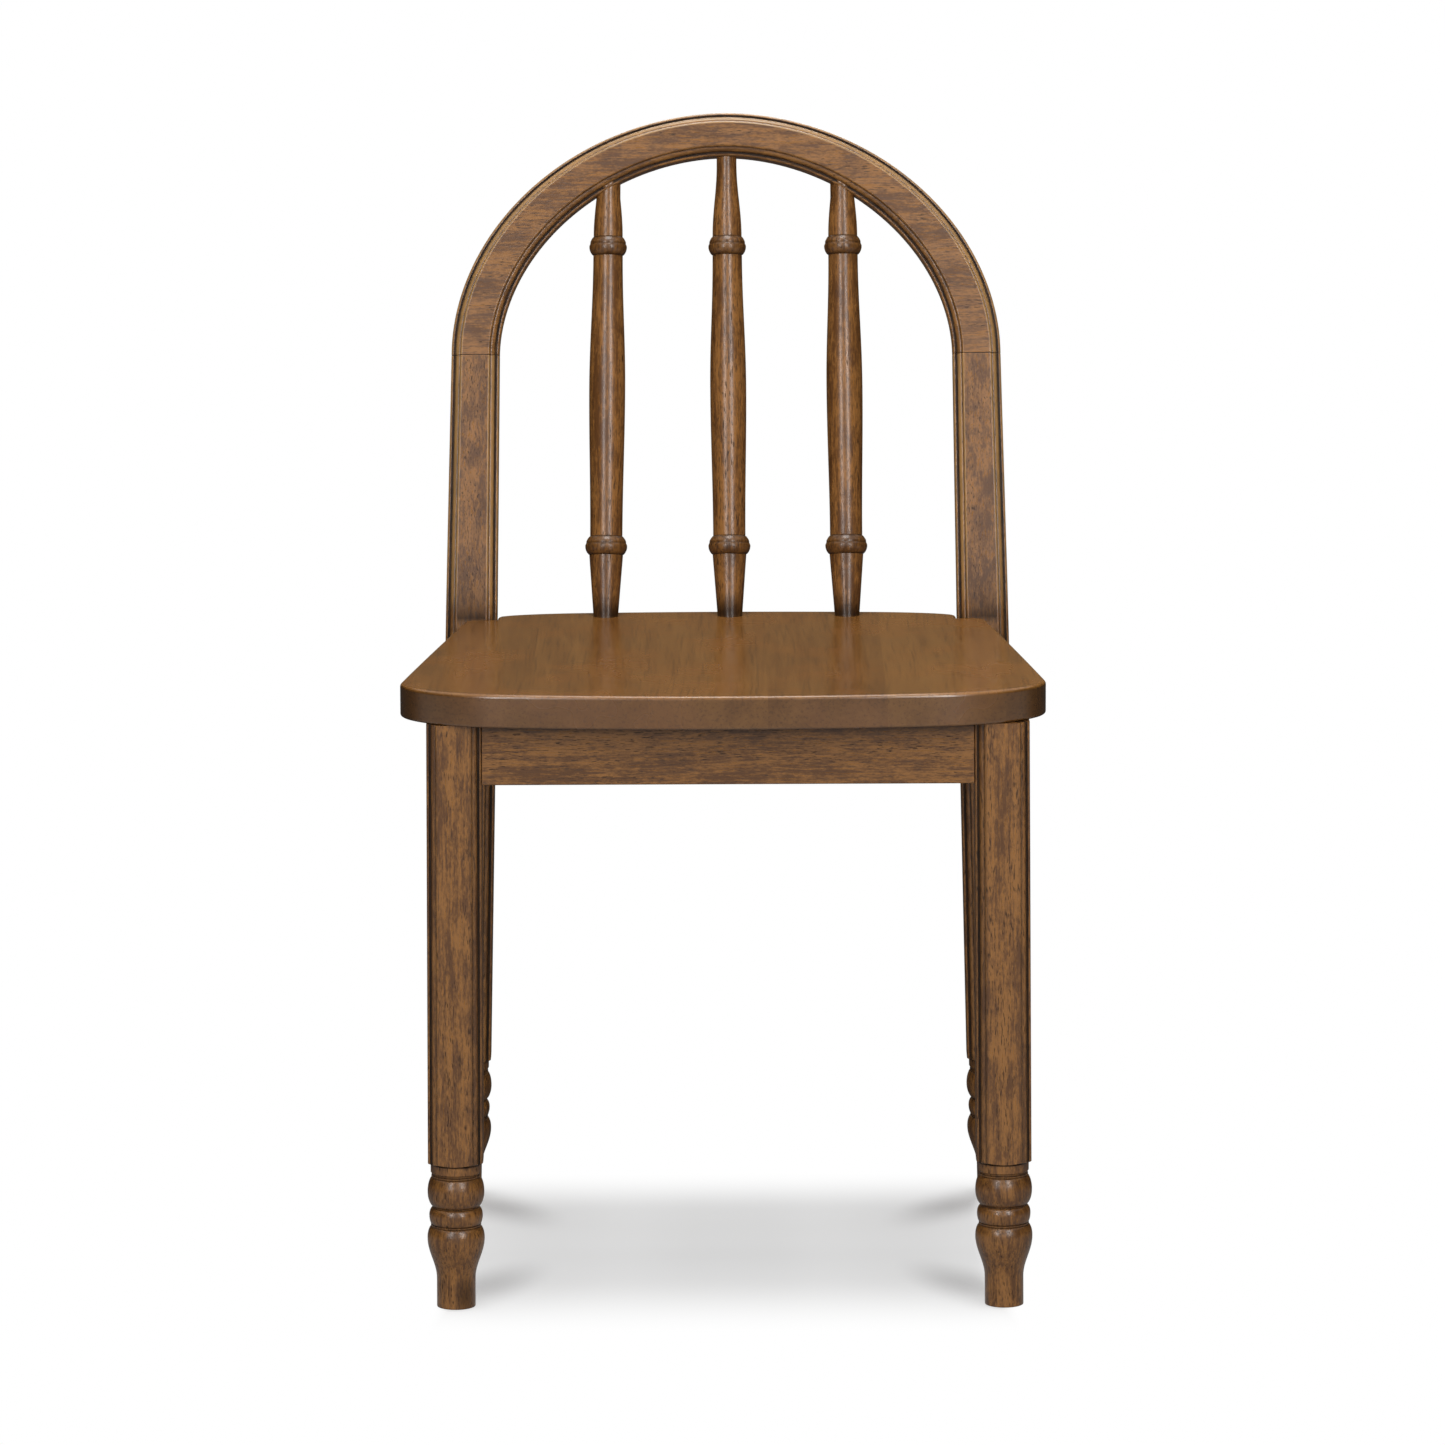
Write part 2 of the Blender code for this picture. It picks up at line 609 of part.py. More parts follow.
def spindle_profile(shoulder, top):
    """Profile of a spindle whose plain upper end runs from shoulder to top."""
    foot = SPINDLE_FOOT_DIAMETER / 2
    low_start = SPINDLE_LOWER_BEAD_HEIGHT - SPINDLE_LOWER_BEAD_LENGTH / 2
    low_end = SPINDLE_LOWER_BEAD_HEIGHT + SPINDLE_LOWER_BEAD_LENGTH / 2
    high_start = SPINDLE_UPPER_BEAD_HEIGHT - SPINDLE_UPPER_BEAD_LENGTH / 2
    high_end = SPINDLE_UPPER_BEAD_HEIGHT + SPINDLE_UPPER_BEAD_LENGTH / 2
    points = [(0, -SPINDLE_SEAT_TENON), (foot, -SPINDLE_SEAT_TENON), (foot, 0)]
    points.append((SPINDLE_FOOT_TOP_DIAMETER / 2, low_start))
    points += bead(low_start, SPINDLE_FOOT_TOP_DIAMETER, low_end, SPINDLE_SHAFT_BOTTOM_DIAMETER,
                   SPINDLE_LOWER_BEAD_DIAMETER)
    points += double_curve(low_end, SPINDLE_SHAFT_BOTTOM_DIAMETER, SPINDLE_BELLY_HEIGHT,
                           SPINDLE_BELLY_DIAMETER)
    points += double_curve(SPINDLE_BELLY_HEIGHT, SPINDLE_BELLY_DIAMETER, high_start,
                           SPINDLE_SHAFT_TOP_DIAMETER)[1:]
    points += bead(high_start, SPINDLE_SHAFT_TOP_DIAMETER, high_end, SPINDLE_SHOULDER_DIAMETER,
                   SPINDLE_UPPER_BEAD_DIAMETER)
    taper_end = min(shoulder, SPINDLE_TIP_HEIGHT)
    for i in range(TAPER_STEPS + 1):
        height = high_end + (taper_end - high_end) * i / TAPER_STEPS
        points.append((spindle_taper(height) / 2, height))
    end = spindle_taper(shoulder) / 2
    return points + [(end, top), (0, top)]


def add_spindle(name, place, seat, arch, back, finishes):
    """A turned spindle between seat and arch; place is -1, 0 or +1 from left to right."""
    top_x = place * POST_SPREAD * SPINDLE_ARCH_SHARE if place else SPINDLE_ARCH_DRIFT
    foot_x = place * POST_SPREAD * SPINDLE_SEAT_SHARE if place else SPINDLE_SEAT_DRIFT
    foot = Vector((foot_x, 0, 0))
    along = Vector((top_x, 0, POST_RISE + arch_inner_rise(top_x))) - foot
    placed = Matrix.Translation(foot) @ along.to_track_quat("Z", "Y").to_matrix().to_4x4()
    drop = arch_inner_rise(top_x) - arch_inner_rise(abs(top_x) + SPINDLE_SHOULDER_DIAMETER / 2)
    shoulder = along.length - drop
    end = along.length + SPINDLE_ARCH_TENON
    mesh = turned_mesh(name, spindle_profile(shoulder, end), TURNED_STEPS)
    add_piece(name, mesh, back, finishes["frame_wood"], placed)
    foot_hole = SPINDLE_FOOT_DIAMETER / 2 + CLEARANCE
    tip_hole = spindle_taper(shoulder) / 2 + CLEARANCE
    sink = -SPINDLE_SEAT_TENON - CLEARANCE
    mouth = SPINDLE_FOOT_DIAMETER / 2
    lower = [(0, sink), (foot_hole, sink), (foot_hole, mouth), (0, mouth)]
    bottom = end + CLEARANCE
    upper = [(0, shoulder), (tip_hole, shoulder), (tip_hole, bottom), (0, bottom)]
    for target, profile in ((seat, lower), (arch, upper)):
        label = f"{name}_in_{target.name}"
        cut(target, label, turned_mesh(label, profile, TURNED_STEPS), back, placed)


# Seat


def seat_half(side):
    """Half of the seat in plan, from the front to the rear, as if it were the right half."""
    levels = [SEAT_UNDERSIDE + SEAT_THICKNESS * i / SEAT_BOW_STEPS for i in range(SEAT_BOW_STEPS + 1)]
    notch_inner = min(back_inner_face(level) for level in levels) - CLEARANCE
    notch_depth = min(back_face_depth(level, -1) for level in levels) - CLEARANCE
    rear = POST_BEND_DEPTH + SEAT_TONGUE_REACH
    front_corner = Vector((SEAT_HALF_WIDTH - side * SEAT_FRONT_SKEW, SEAT_FRONT_BOW - SEAT_FRONT_OVERHANG))
    front_left = Vector((-front_corner.x, front_corner.y))
    rear_corner = Vector((SEAT_REAR_HALF_WIDTH - side * SEAT_REAR_SKEW, notch_depth))
    notch_corner = Vector((notch_inner, notch_depth))
    tongue_corner = Vector((notch_inner, rear - SEAT_REAR_BOW))
    tongue_left = Vector((-tongue_corner.x, tongue_corner.y))
    front = bowed(front_left, front_corner, SEAT_FRONT_BOW, 2 * SEAT_BOW_STEPS)
    side = bowed(front_corner, rear_corner, SEAT_SIDE_BOW, SEAT_BOW_STEPS)
    back = bowed(tongue_corner, tongue_left, SEAT_REAR_BOW, 2 * SEAT_BOW_STEPS)
    front_end = front_corner.x - SEAT_FRONT_CORNER_RADIUS
    side_start = front_corner.y + SEAT_FRONT_CORNER_RADIUS
    side_end = rear_corner.y - SEAT_REAR_CORNER_RADIUS
    back_end = tongue_corner.x - SEAT_TONGUE_CORNER_RADIUS
    half = [Vector((0, -SEAT_FRONT_OVERHANG))]
    half += [point for point in front if MERGE_DISTANCE < point.x < front_end]
    half += fillet(front[-2], front_corner, side[1], SEAT_FRONT_CORNER_RADIUS, SEAT_CORNER_STEPS)
    half += [point for point in side if side_start < point.y < side_end]
    half += fillet(side[-2], rear_corner, notch_corner, SEAT_REAR_CORNER_RADIUS, SEAT_CORNER_STEPS)
    half.append(notch_corner)
    half += fillet(notch_corner, tongue_corner, back[1], SEAT_TONGUE_CORNER_RADIUS, SEAT_CORNER_STEPS)
    half += [point for point in back if MERGE_DISTANCE < point.x < back_end]
    return half + [Vector((0, rear))]


def seat_outline():
    """The seat in plan: bowed front and sides, and a tongue between the posts."""
    left = [Vector((-point.x, point.y)) for point in reversed(seat_half(-1)[1:-1])]
    return seat_half(1) + left


def add_seat(name, parent, finishes):
    bm = prism_bmesh(seat_outline(), SEAT_UNDERSIDE, SEAT_TOP)
    middle = (SEAT_UNDERSIDE + SEAT_TOP) / 2
    eases = ((1, SEAT_TOP_EASE, SEAT_TOP_EASE_STEPS), (-1, SEAT_UNDER_EASE, SEAT_UNDER_EASE_STEPS))
    for way, ease, steps in eases:
        rim = [edge for edge in bm.edges if all((v.co.z - middle) * way > 0 for v in edge.verts)]
        bmesh.ops.bevel(bm, geom=rim, offset=ease, offset_type="OFFSET", affect="EDGES",
                        segments=steps, profile=0.5, material=-1, clamp_overlap=True)
    return add_piece(name, mesh_from(bm, name), parent, finishes["seat_wood"])


# Rails


def rail_bmesh(place):
    """The body of a rail; place puts (share along, distance across, height) in the chair."""
    half = RAIL_THICKNESS / 2
    bm = box_bmesh((-1, -half, RAIL_BOTTOM), (1, half, FRAME_TOP))
    long_edges = [edge for edge in bm.edges if edge.calc_length() > 1]
    bmesh.ops.bevel(bm, geom=long_edges, offset=RAIL_ARRIS, offset_type="OFFSET",
                    affect="EDGES", segments=RAIL_ARRIS_STEPS, profile=0.5, material=-1)
    for vert in bm.verts:
        vert.co = place(*vert.co)
    return bm


def tenon_bmesh(place, half_length, gap):
    """A bar that runs through a rail and stands out as a tenon at both ends."""
    reach = 1 + (TENON_LENGTH + gap) / half_length
    half = RAIL_THICKNESS / 2 - TENON_SHOULDER + gap
    low = RAIL_BOTTOM + TENON_SHOULDER - gap
    high = FRAME_TOP - TENON_SHOULDER + gap
    bm = box_bmesh((-reach, -half, low), (reach, half, high))
    for vert in bm.verts:
        vert.co = place(*vert.co)
    return bm


def front_rail_depth():
    return RAIL_SETBACK + RAIL_THICKNESS / 2


def rear_rail_depth():
    return back_face_depth(FRAME_TOP, 1) - RAIL_SETBACK - RAIL_THICKNESS / 2


def side_rail_spread(depth):
    """Middle of a side rail from the middle of the chair, at a depth."""
    front = LEG_SPREAD + LEG_WIDTH / 2 - RAIL_SETBACK - RAIL_THICKNESS / 2
    rear = SIDE_RAIL_REAR_SPREAD - RAIL_THICKNESS / 2
    share = (depth - LEG_WIDTH) / (back_face_depth(FRAME_TOP, -1) - LEG_WIDTH)
    return front + (rear - front) * share


def place_front(share, across, height):
    half = front_spread(height) - LEG_WIDTH / 2 - CLEARANCE
    return Vector((share * half, front_rail_depth() + across, height))


def place_rear(share, across, height):
    half = back_inner_face(height) - CLEARANCE
    return Vector((share * half, rear_rail_depth() + across, height))


def place_side(side):
    def place(share, across, height):
        front = LEG_WIDTH + CLEARANCE
        rear = back_face_depth(height, -1) - CLEARANCE
        depth = (front + rear) / 2 + share * (rear - front) / 2
        return Vector((side * side_rail_spread(depth) + across, depth, height))
    return place


def add_rail(name, place, legs, parent, finishes):
    """A rail with a tenon at each end, mortised into two legs."""
    half_length = (place(1, 0, FRAME_TOP) - place(-1, 0, FRAME_TOP)).length / 2
    rail = add_piece(name, mesh_from(rail_bmesh(place), name, False), parent, finishes["frame_wood"])
    tenon = mesh_from(tenon_bmesh(place, half_length, 0), name, False)
    cut(rail, name + "_tenons", tenon, parent, None, "UNION")
    for leg in legs:
        mortise = mesh_from(tenon_bmesh(place, half_length, CLEARANCE), name, False)
        cut(leg, f"{name}_in_{leg.name}", mortise, parent)
    return rail


# Screws and corner blocks


def screw_profile(length, gap):
    """Countersunk screw, head at the top; with a gap it is its hole and counterbore."""
    head = SCREW_HEAD_DIAMETER / 2 + gap
    shank = SCREW_SHANK_DIAMETER / 2 + gap
    top = SCREW_COUNTERBORE if gap else 0
    point = [(0, -length - gap), (shank, SCREW_TIP_LENGTH - length)]
    if gap:
        point = [(0, -length - gap), (shank, -length - gap)]
    return point + [(shank, -SCREW_HEAD_HEIGHT), (head, -SCREW_RIM_HEIGHT), (head, top), (0, top)]


def add_screw(name, spot, out, length, targets, parent, finishes):
    """A screw whose head lies at spot and faces out, with its hole in each target."""
    placed = Matrix.Translation(spot) @ out.to_track_quat("Z", "Y").to_matrix().to_4x4()
    mesh = turned_mesh(name, screw_profile(length, 0), HARDWARE_STEPS)
    add_piece(name, mesh, parent, finishes["zinc_screw"], placed)
    for target in targets:
        hole = turned_mesh(name, screw_profile(length, CLEARANCE), HARDWARE_STEPS)
        cut(target, f"{name}_in_{target.name}", hole, parent, placed)


def add_corner(word, side, end, seat, end_rail, side_rail, parent, finishes):
    """A glue block across a corner of the frame; end is +1 at the front and -1 at the rear."""
    rail_depth = front_rail_depth() if end > 0 else rear_rail_depth()
    start = rail_depth + end * (RAIL_THICKNESS / 2 + CLEARANCE)

    def corner_spot(along_end, along_side, height=0):
        depth = start + end * along_side
        inner = side_rail_spread(depth) - RAIL_THICKNESS / 2 - CLEARANCE
        return Vector((side * (inner - along_end), depth, height))

    plan = [corner_spot(BLOCK_NEAR_LEG, 0), corner_spot(BLOCK_REACH, 0),
            corner_spot(0, BLOCK_REACH), corner_spot(0, BLOCK_NEAR_LEG)]
    bottom = FRAME_TOP - BLOCK_HEIGHT
    bm = prism_bmesh([(spot.x, spot.y) for spot in plan], bottom, FRAME_TOP)
    name = "corner_block_" + word
    block = add_piece(name, mesh_from(bm, name, False), parent, finishes["plain_wood"])
    middle = FRAME_TOP - BLOCK_HEIGHT / 2
    head = BLOCK_SCREW_SEAT + SCREW_HEAD_HEIGHT
    add_screw(f"block_screw_{word}_end", corner_spot(BLOCK_SCREW_ALONG, head, middle),
              Vector((0, end, 0)), BLOCK_SCREW_LENGTH, (block, end_rail), parent, finishes)
    add_screw(f"block_screw_{word}_side", corner_spot(head, BLOCK_SCREW_ALONG, middle),
              Vector((-side, 0, 0)), BLOCK_SCREW_LENGTH, (block, side_rail), parent, finishes)
    half_way = (BLOCK_NEAR_LEG + BLOCK_REACH) / 4
    add_screw("seat_screw_" + word, corner_spot(half_way, half_way, bottom + SEAT_SCREW_SINK),
              Vector((0, 0, -1)), SEAT_SCREW_LENGTH, (block, seat), parent, finishes)


# The whole chair


def centre_on_origin(chair, pieces):
    """Moves the chair so that the middle of its width and depth lies over the origin."""
    bpy.context.view_layer.update()
    spots = [piece.matrix_world @ vert.co for piece in pieces for vert in piece.data.vertices]
    widths = [spot.x for spot in spots]
    depths = [spot.y for spot in spots]
    chair.location = (-(min(widths) + max(widths)) / 2, -(min(depths) + max(depths)) / 2, 0)


def build():
    clear_scene()
    finishes = make_materials()
    chair = make_empty("chair")
    back = make_empty("back_plane", chair, (0, POST_BEND_DEPTH, SEAT_TOP), -LEAN)
    seat = add_seat("seat_panel", chair, finishes)
    arch = add_arch("arch_rail", back, finishes)
    front_legs, back_legs, spots = {}, {}, {}
    for side, word in SIDES:
        front_legs[side], spots["front_" + word] = add_front_leg(
            "front_leg_" + word, side, chair, finishes)
        back_legs[side], spots["back_" + word] = add_back_leg(
            "back_leg_" + word, side, chair, finishes)
    for word, spot in spots.items():
        add_glide("foot_glide_" + word, spot, chair, finishes)
    add_dowels(arch, back_legs, back, finishes)
    for place, word in ((-1, "left"), (0, "middle"), (1, "right")):
        add_spindle("spindle_" + word, place, seat, arch, back, finishes)
    front_rail = add_rail("front_rail", place_front, front_legs.values(), chair, finishes)
    rear_rail = add_rail("rear_rail", place_rear, back_legs.values(), chair, finishes)
    for side, word in SIDES:
        pair = (front_legs[side], back_legs[side])
        side_rail = add_rail("side_rail_" + word, place_side(side), pair, chair, finishes)
        add_corner("front_" + word, side, 1, seat, front_rail, side_rail, chair, finishes)
        add_corner("back_" + word, side, -1, seat, rear_rail, side_rail, chair, finishes)
    pieces = [made for made in bpy.data.objects if made.type == "MESH" and not made.hide_render]
    centre_on_origin(chair, pieces)


build()
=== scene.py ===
import functools
import json
import math

import bmesh
import bpy
from mathutils import Matrix, Vector

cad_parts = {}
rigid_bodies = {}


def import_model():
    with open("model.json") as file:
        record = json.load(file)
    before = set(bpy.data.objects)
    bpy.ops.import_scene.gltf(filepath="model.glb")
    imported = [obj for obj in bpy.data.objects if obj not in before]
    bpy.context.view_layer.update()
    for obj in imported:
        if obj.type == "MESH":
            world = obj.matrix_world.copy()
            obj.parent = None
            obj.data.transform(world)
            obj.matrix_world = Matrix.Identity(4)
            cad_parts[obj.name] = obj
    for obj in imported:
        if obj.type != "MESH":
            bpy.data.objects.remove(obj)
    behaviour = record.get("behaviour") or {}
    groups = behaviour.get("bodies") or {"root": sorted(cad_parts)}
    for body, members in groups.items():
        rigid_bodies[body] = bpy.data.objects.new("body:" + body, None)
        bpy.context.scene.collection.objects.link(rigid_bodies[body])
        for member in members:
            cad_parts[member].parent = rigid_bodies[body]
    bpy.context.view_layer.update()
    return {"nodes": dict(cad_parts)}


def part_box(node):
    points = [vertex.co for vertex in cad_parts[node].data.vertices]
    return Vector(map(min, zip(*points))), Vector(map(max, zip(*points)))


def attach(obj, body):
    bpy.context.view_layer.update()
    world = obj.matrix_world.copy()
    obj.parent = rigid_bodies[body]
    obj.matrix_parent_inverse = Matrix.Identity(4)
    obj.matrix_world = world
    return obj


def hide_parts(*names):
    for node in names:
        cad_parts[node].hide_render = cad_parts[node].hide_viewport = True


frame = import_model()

bl_info = {
    "name": "Spindle Back Chair",
    "version": (1, 0, 0),
    "blender": (4, 5, 0),
    "location": "View3D > Sidebar > Chair",
    "description": "Makes the visible pieces of a spindle back chair and the studio it stands in",
    "category": "Add Mesh",
}

MM = 0.001
SIDES = ((-1, "left"), (1, "right"))
MERGE_DISTANCE = 0.002 * MM
SHARP_ANGLE = math.radians(35)
GAP = 0.3 * MM                      # between one piece of wood and the next
BELOW_FLOOR = 4 * MM                # how far a turning is made past the floor, to be cut level
TURNED_STEPS = 64                   # flats round a turning
SHOULDER_HEIGHT = 8 * MM            # from the turned foot to the first plain section of a leg
POST_SECTIONS = (0.28, 0.36, 0.45, 0.54)    # shares of a post where sections follow its stain
NEAR_SEAM = (1.2 * MM, 0.3 * MM)    # where sections stand before the joint of post and arch
SEAM_EASE = 0.4 * MM                # how much narrower post and arch are at that joint
GROOVE = 0.5 * MM                   # a line cut beside a spindle's bead
# Place, reach and strength of the stain that the left foot soaked up near the floor
STAINED_FOOT = ((-0.198, 0.006, 0.012), (0.010, 0.016, 0.018), 0.8)


# Values that a user may change


def linear(code):
    """An sRGB hex colour as linear red, green and blue."""
    parts = [int(code[i:i + 2], 16) / 255 for i in (0, 2, 4)]
    return tuple(p / 12.92 if p <= 0.04045 else ((p + 0.055) / 1.055) ** 2.4 for p in parts)


def length(name, description, millimetres):
    return bpy.props.FloatProperty(name=name, description=description, default=millimetres * MM,
                                   unit="LENGTH", precision=4)


def angle(name, description, degrees):
    return bpy.props.FloatProperty(name=name, description=description,
                                   default=math.radians(degrees), unit="ROTATION")


def factor(name, description, default, top=1):
    return bpy.props.FloatProperty(name=name, description=description, default=default,
                                   min=0, max=top, subtype="FACTOR")


def colour(name, description, code):
    return bpy.props.FloatVectorProperty(name=name, description=description, size=3,
                                         default=linear(code), min=0, max=1, subtype="COLOR")


def power(name, description, watts):
    return bpy.props.FloatProperty(name=name, description=description, default=watts,
                                   min=0, unit="POWER")


class SeatSizes(bpy.types.PropertyGroup):
    top: length("Top", "Height of the seat above the floor", 470.5)
    thickness: length("Thickness", "Thickness of the seat", 25)
    half_width: length("Half width", "Where the front and side edges would meet", 246)
    front_skew: length("Front skew", "How far the sides stand to the left at the front", 3.5)
    rear_skew: length("Rear skew", "How far the sides stand to the left at the rear", 1.1)
    side_taper: length("Side taper", "How much each side comes in towards the rear", 42.4)
    overhang: length("Overhang", "Seat in front of the front legs", 26)
    front_bow: length("Front bow", "How far the front edge falls back at its corners", 24.6)
    side_bow: length("Side bow", "Bow of each side edge", 0.8)
    rear_bow: length("Rear bow", "Bow of the edge behind the spindles", 10)
    tongue_reach: length("Tongue reach", "Rear edge behind the bend of the posts", 23.2)
    corner_width: length("Corner width", "Where a front corner starts, from the side", 81)
    corner_depth: length("Corner depth", "Where a front corner ends, from the front", 51)
    rear_corner: length("Rear corner", "Radius of the corners beside the posts", 10)
    tongue_width: length("Tongue corner width", "Where a corner beside a post starts", 62)
    tongue_depth: length("Tongue corner depth", "Where a corner beside a post ends", 15)
    top_ease: length("Top ease", "Rounding of the top edge", 3)
    under_ease: length("Lower ease", "Rounding of the lower edge", 2)
    board: length("Board", "Width of the boards that the seat is glued up from", 88)


class MouldingSizes(bpy.types.PropertyGroup):
    width: length("Width", "Width of the corner moulding on each face", 7)
    step: length("Step", "Height of the step from bead to face", 3.4)
    ease: length("Ease", "Rounding of the edge of each face", 1.8)
    quirk_width: length("Quirk width", "Width of the groove on each side of the bead", 1.5)
    quirk_depth: length("Quirk depth", "Depth of the groove on each side of the bead", 1.4)


class LegSizes(bpy.types.PropertyGroup):
    spread: length("Spread", "Centre of a front leg from the middle, at its top", 202.5)
    width: length("Width", "Width of a square leg", 41)
    foot_top: length("Foot top", "Where the square part ends and the turning starts", 112)
    foot_bottom: length("Foot bottom", "Where the wood stops, above the glide", 1)
    shoulder_slope: factor("Shoulder slope", "Rise of the shoulder towards the corners", 0.42)
    post_seat_width: length("Post width at seat", "Width of a post at the seat", 40.2)
    post_width: length("Post width", "Width of a post at the joint with the arch", 37.6)
    post_thickness: length("Post thickness", "Thickness of a post at the joint", 34)
    post_spread: length("Post spread", "Centre of a post from the middle, at the joint", 197.0)
    post_rise: length("Post rise", "From the bend up the slope to the joint", 205)
    bend_depth: length("Bend depth", "Where the lines of back leg and post cross", 370)
    bend_radius: length("Bend radius", "Radius of the bend at the seat", 300)
    splay: angle("Front splay", "Outward slope of the front legs, going down", 0.38)
    back_splay: angle("Back splay", "Outward slope of the back legs, going down", 1.5)
    post_splay: angle("Post splay", "Outward slope of the posts, going down", 1.06)
    rake: angle("Rake", "Backward slope of a back leg, going down", 3.84)
    lean: angle("Lean", "Backward slope of the back, going up", 12)


class FootSizes(bpy.types.PropertyGroup):
    collar: length("Collar", "Diameter of the collar under the square part", 37.8)
    collar_length: length("Collar length", "Height of the collar", 8.5)
    upper_neck: length("Upper neck", "Diameter between collar and ball", 36.4)
    upper_neck_height: length("Upper neck height", "Height of that neck", 101.3)
    ball: length("Ball", "Diameter of the ball", 42.5)
    middle_neck: length("Middle neck", "Diameter between ball and ring", 34.8)
    middle_neck_height: length("Middle neck height", "Height of that neck", 77.7)
    ring: length("Ring", "Diameter of the ring", 40.1)
    lower_neck: length("Lower neck", "Diameter between ring and vase", 37.3)
    lower_neck_height: length("Lower neck height", "Height of that neck", 63.7)
    vase: length("Vase", "Diameter of the vase", 42.9)
    vase_height: length("Vase height", "Height of the widest part of the vase", 53.7)
    tip: length("Tip", "Diameter of the foot at the floor", 29)
    tip_height: length("Tip height", "Where the taper of the vase ends", 22.5)
    fillet: length("Fillet", "Height of the narrow band in a neck", 1.3)
    groove: length("Groove", "Depth and half width of a turned groove", 0.5)


class ArchSizes(bpy.types.PropertyGroup):
    rise: length("Rise", "Outer edge above the joint, up the slope", 190.5)
    width_at_top: length("Width at top", "Width of the rail at its top", 34)
    outer_fullness: factor("Outer fullness", "2 is an ellipse, less is slacker above", 1.94, 3)
    inner_fullness: factor("Inner fullness", "2 is an ellipse, less is slacker above", 1.90, 3)


class SpindleSizes(bpy.types.PropertyGroup):
    seat_spacing: length("Spacing at seat", "From spindle to spindle at the seat", 94.3)
    arch_spacing: length("Spacing at arch", "From spindle to spindle at the arch", 92.1)
    left_drift: length("Left drift", "The left spindle's foot to the left of its place", 1.1)
    seat_drift: length("Drift at seat", "Middle spindle's foot to the right of the middle", 2.2)
    arch_drift: length("Drift at arch", "Middle spindle's top to the right of the middle", 1.0)
    foot: length("Foot", "Diameter at the seat", 19.4)
    foot_top: length("Foot top", "Diameter under the lower bead", 26.5)
    lower_bead: length("Lower bead", "Diameter of the lower bead", 33)
    lower_bead_height: length("Lower bead height", "Height of its middle above the seat", 55.5)
    lower_bead_length: length("Lower bead length", "Height of the bead itself", 14.6)
    shaft_bottom: length("Shaft bottom", "Diameter above the lower bead", 25.4)
    belly: length("Belly", "Greatest diameter of the shaft", 28.4)
    belly_height: length("Belly height", "Height of the belly above the seat", 180)
    shaft_top: length("Shaft top", "Diameter under the upper bead", 23.2)
    upper_bead: length("Upper bead", "Diameter of the upper bead", 29.6)
    upper_bead_height: length("Upper bead height", "Height of its middle above the seat", 291.7)
    upper_bead_length: length("Upper bead length", "Height of the bead itself", 14.6)
    shoulder: length("Shoulder", "Diameter above the upper bead", 22.9)
    tip: length("Tip", "Diameter where the upper taper ends", 15.6)
    tip_height: length("Tip height", "Height of that end above the seat", 356)
    tenon: length("Tenon", "How far the ends run into seat and arch", 12)


class RailSizes(bpy.types.PropertyGroup):
    height: length("Height", "Height of the rails under the seat", 46)
    thickness: length("Thickness", "Thickness of the rails", 18)
    setback: length("Setback", "Outer face behind the outer face of the legs", 7)
    rear_inset: length("Rear inset", "From a back leg's centre out to the side rail's face", 0.5)
    arris: length("Arris", "Rounding of the long edges", 1.2)


class Finishes(bpy.types.PropertyGroup):
    seat_light: colour("Seat, light", "Stain on the palest boards of the seat", "865C2D")
    seat_dark: colour("Seat, dark", "Stain on the darkest grain of the seat", "6C461F")
    seat_warm: colour("Seat, warm", "Redder patches of the seat", "875524")
    # Darker sides of the seat: stain with painted shade over it, deepest at the corners
    seat_edge_stain_and_shade: colour("Seat edge", "Stain that gathers on the sides of the seat", "2E1D0F")
    frame_light: colour("Frame, light", "Stain on the palest grain of legs and rails", "8A5E30")
    frame_dark: colour("Frame, dark", "Stain on the darkest grain of legs and rails", "57371B")
    # Painted highlight: a paler colour along the edges of the mouldings and the seat, where the
    # lamps would glint
    frame_painted_highlight: colour("Frame worn", "Stain rubbed thin along the edges", "AE8A58")
    # Dark stain for the pores and the grooves, also laid on as painted shade in recesses, on the
    # rails under the seat and on the tops of the turned beads
    glaze_and_painted_light: colour("Glaze", "Stain that gathers in grooves and pores", "1A0F07")
    bare_wood: colour("Bare wood", "Sawn wood of blocks and dowels", "C9A77C")
    zinc: colour("Zinc", "Plating of the screws", "B9B7AE")
    nylon: colour("Nylon", "Glides under the feet", "4A3A2C")


class StudioSettings(bpy.types.PropertyGroup):
    overhead: power("Overhead", "Soft lamp above the chair", 28)
    front: power("Front", "Each of the two tall soft lamps in front", 38)
    fill: power("Fill", "Wide soft lamp behind the camera", 23)
    behind: power("Behind", "Soft lamp behind the chair, which lights its frame", 48)
    floor_light: power("Floor light", "Wide lamp above, which lights the floor", 70)
    world: factor("World", "Even light from all round", 0.05, 2)
    sheen: factor("Sheen", "Brightness of the floor in front, as the lacquer mirrors it", 0.65, 2)
    bounce: factor("Bounce", "Light that the floor throws back", 0.15, 2)
    shade: factor("Shade", "Depth of the shadow on the floor", 0.35)
    foot_shade: factor("Foot shade", "How much deeper the shadow is beside the feet", 0.42)
    floor: colour("Floor", "Pale floor", "F4F4F4")
    walls: colour("Walls", "Dim studio walls, seen only in reflections", "86735C")


# Making meshes


def new_bmesh():
    bm = bmesh.new()
    # Per point: above 0 for gathered glaze and painted shade, below 0 for a painted highlight
    bm.verts.layers.float.new("glaze_and_painted_light")
    return bm


def new_vert(bm, place, glaze_and_painted_light=0.0):
    vert = bm.verts.new(place)
    vert[bm.verts.layers.float["glaze_and_painted_light"]] = glaze_and_painted_light
    return vert


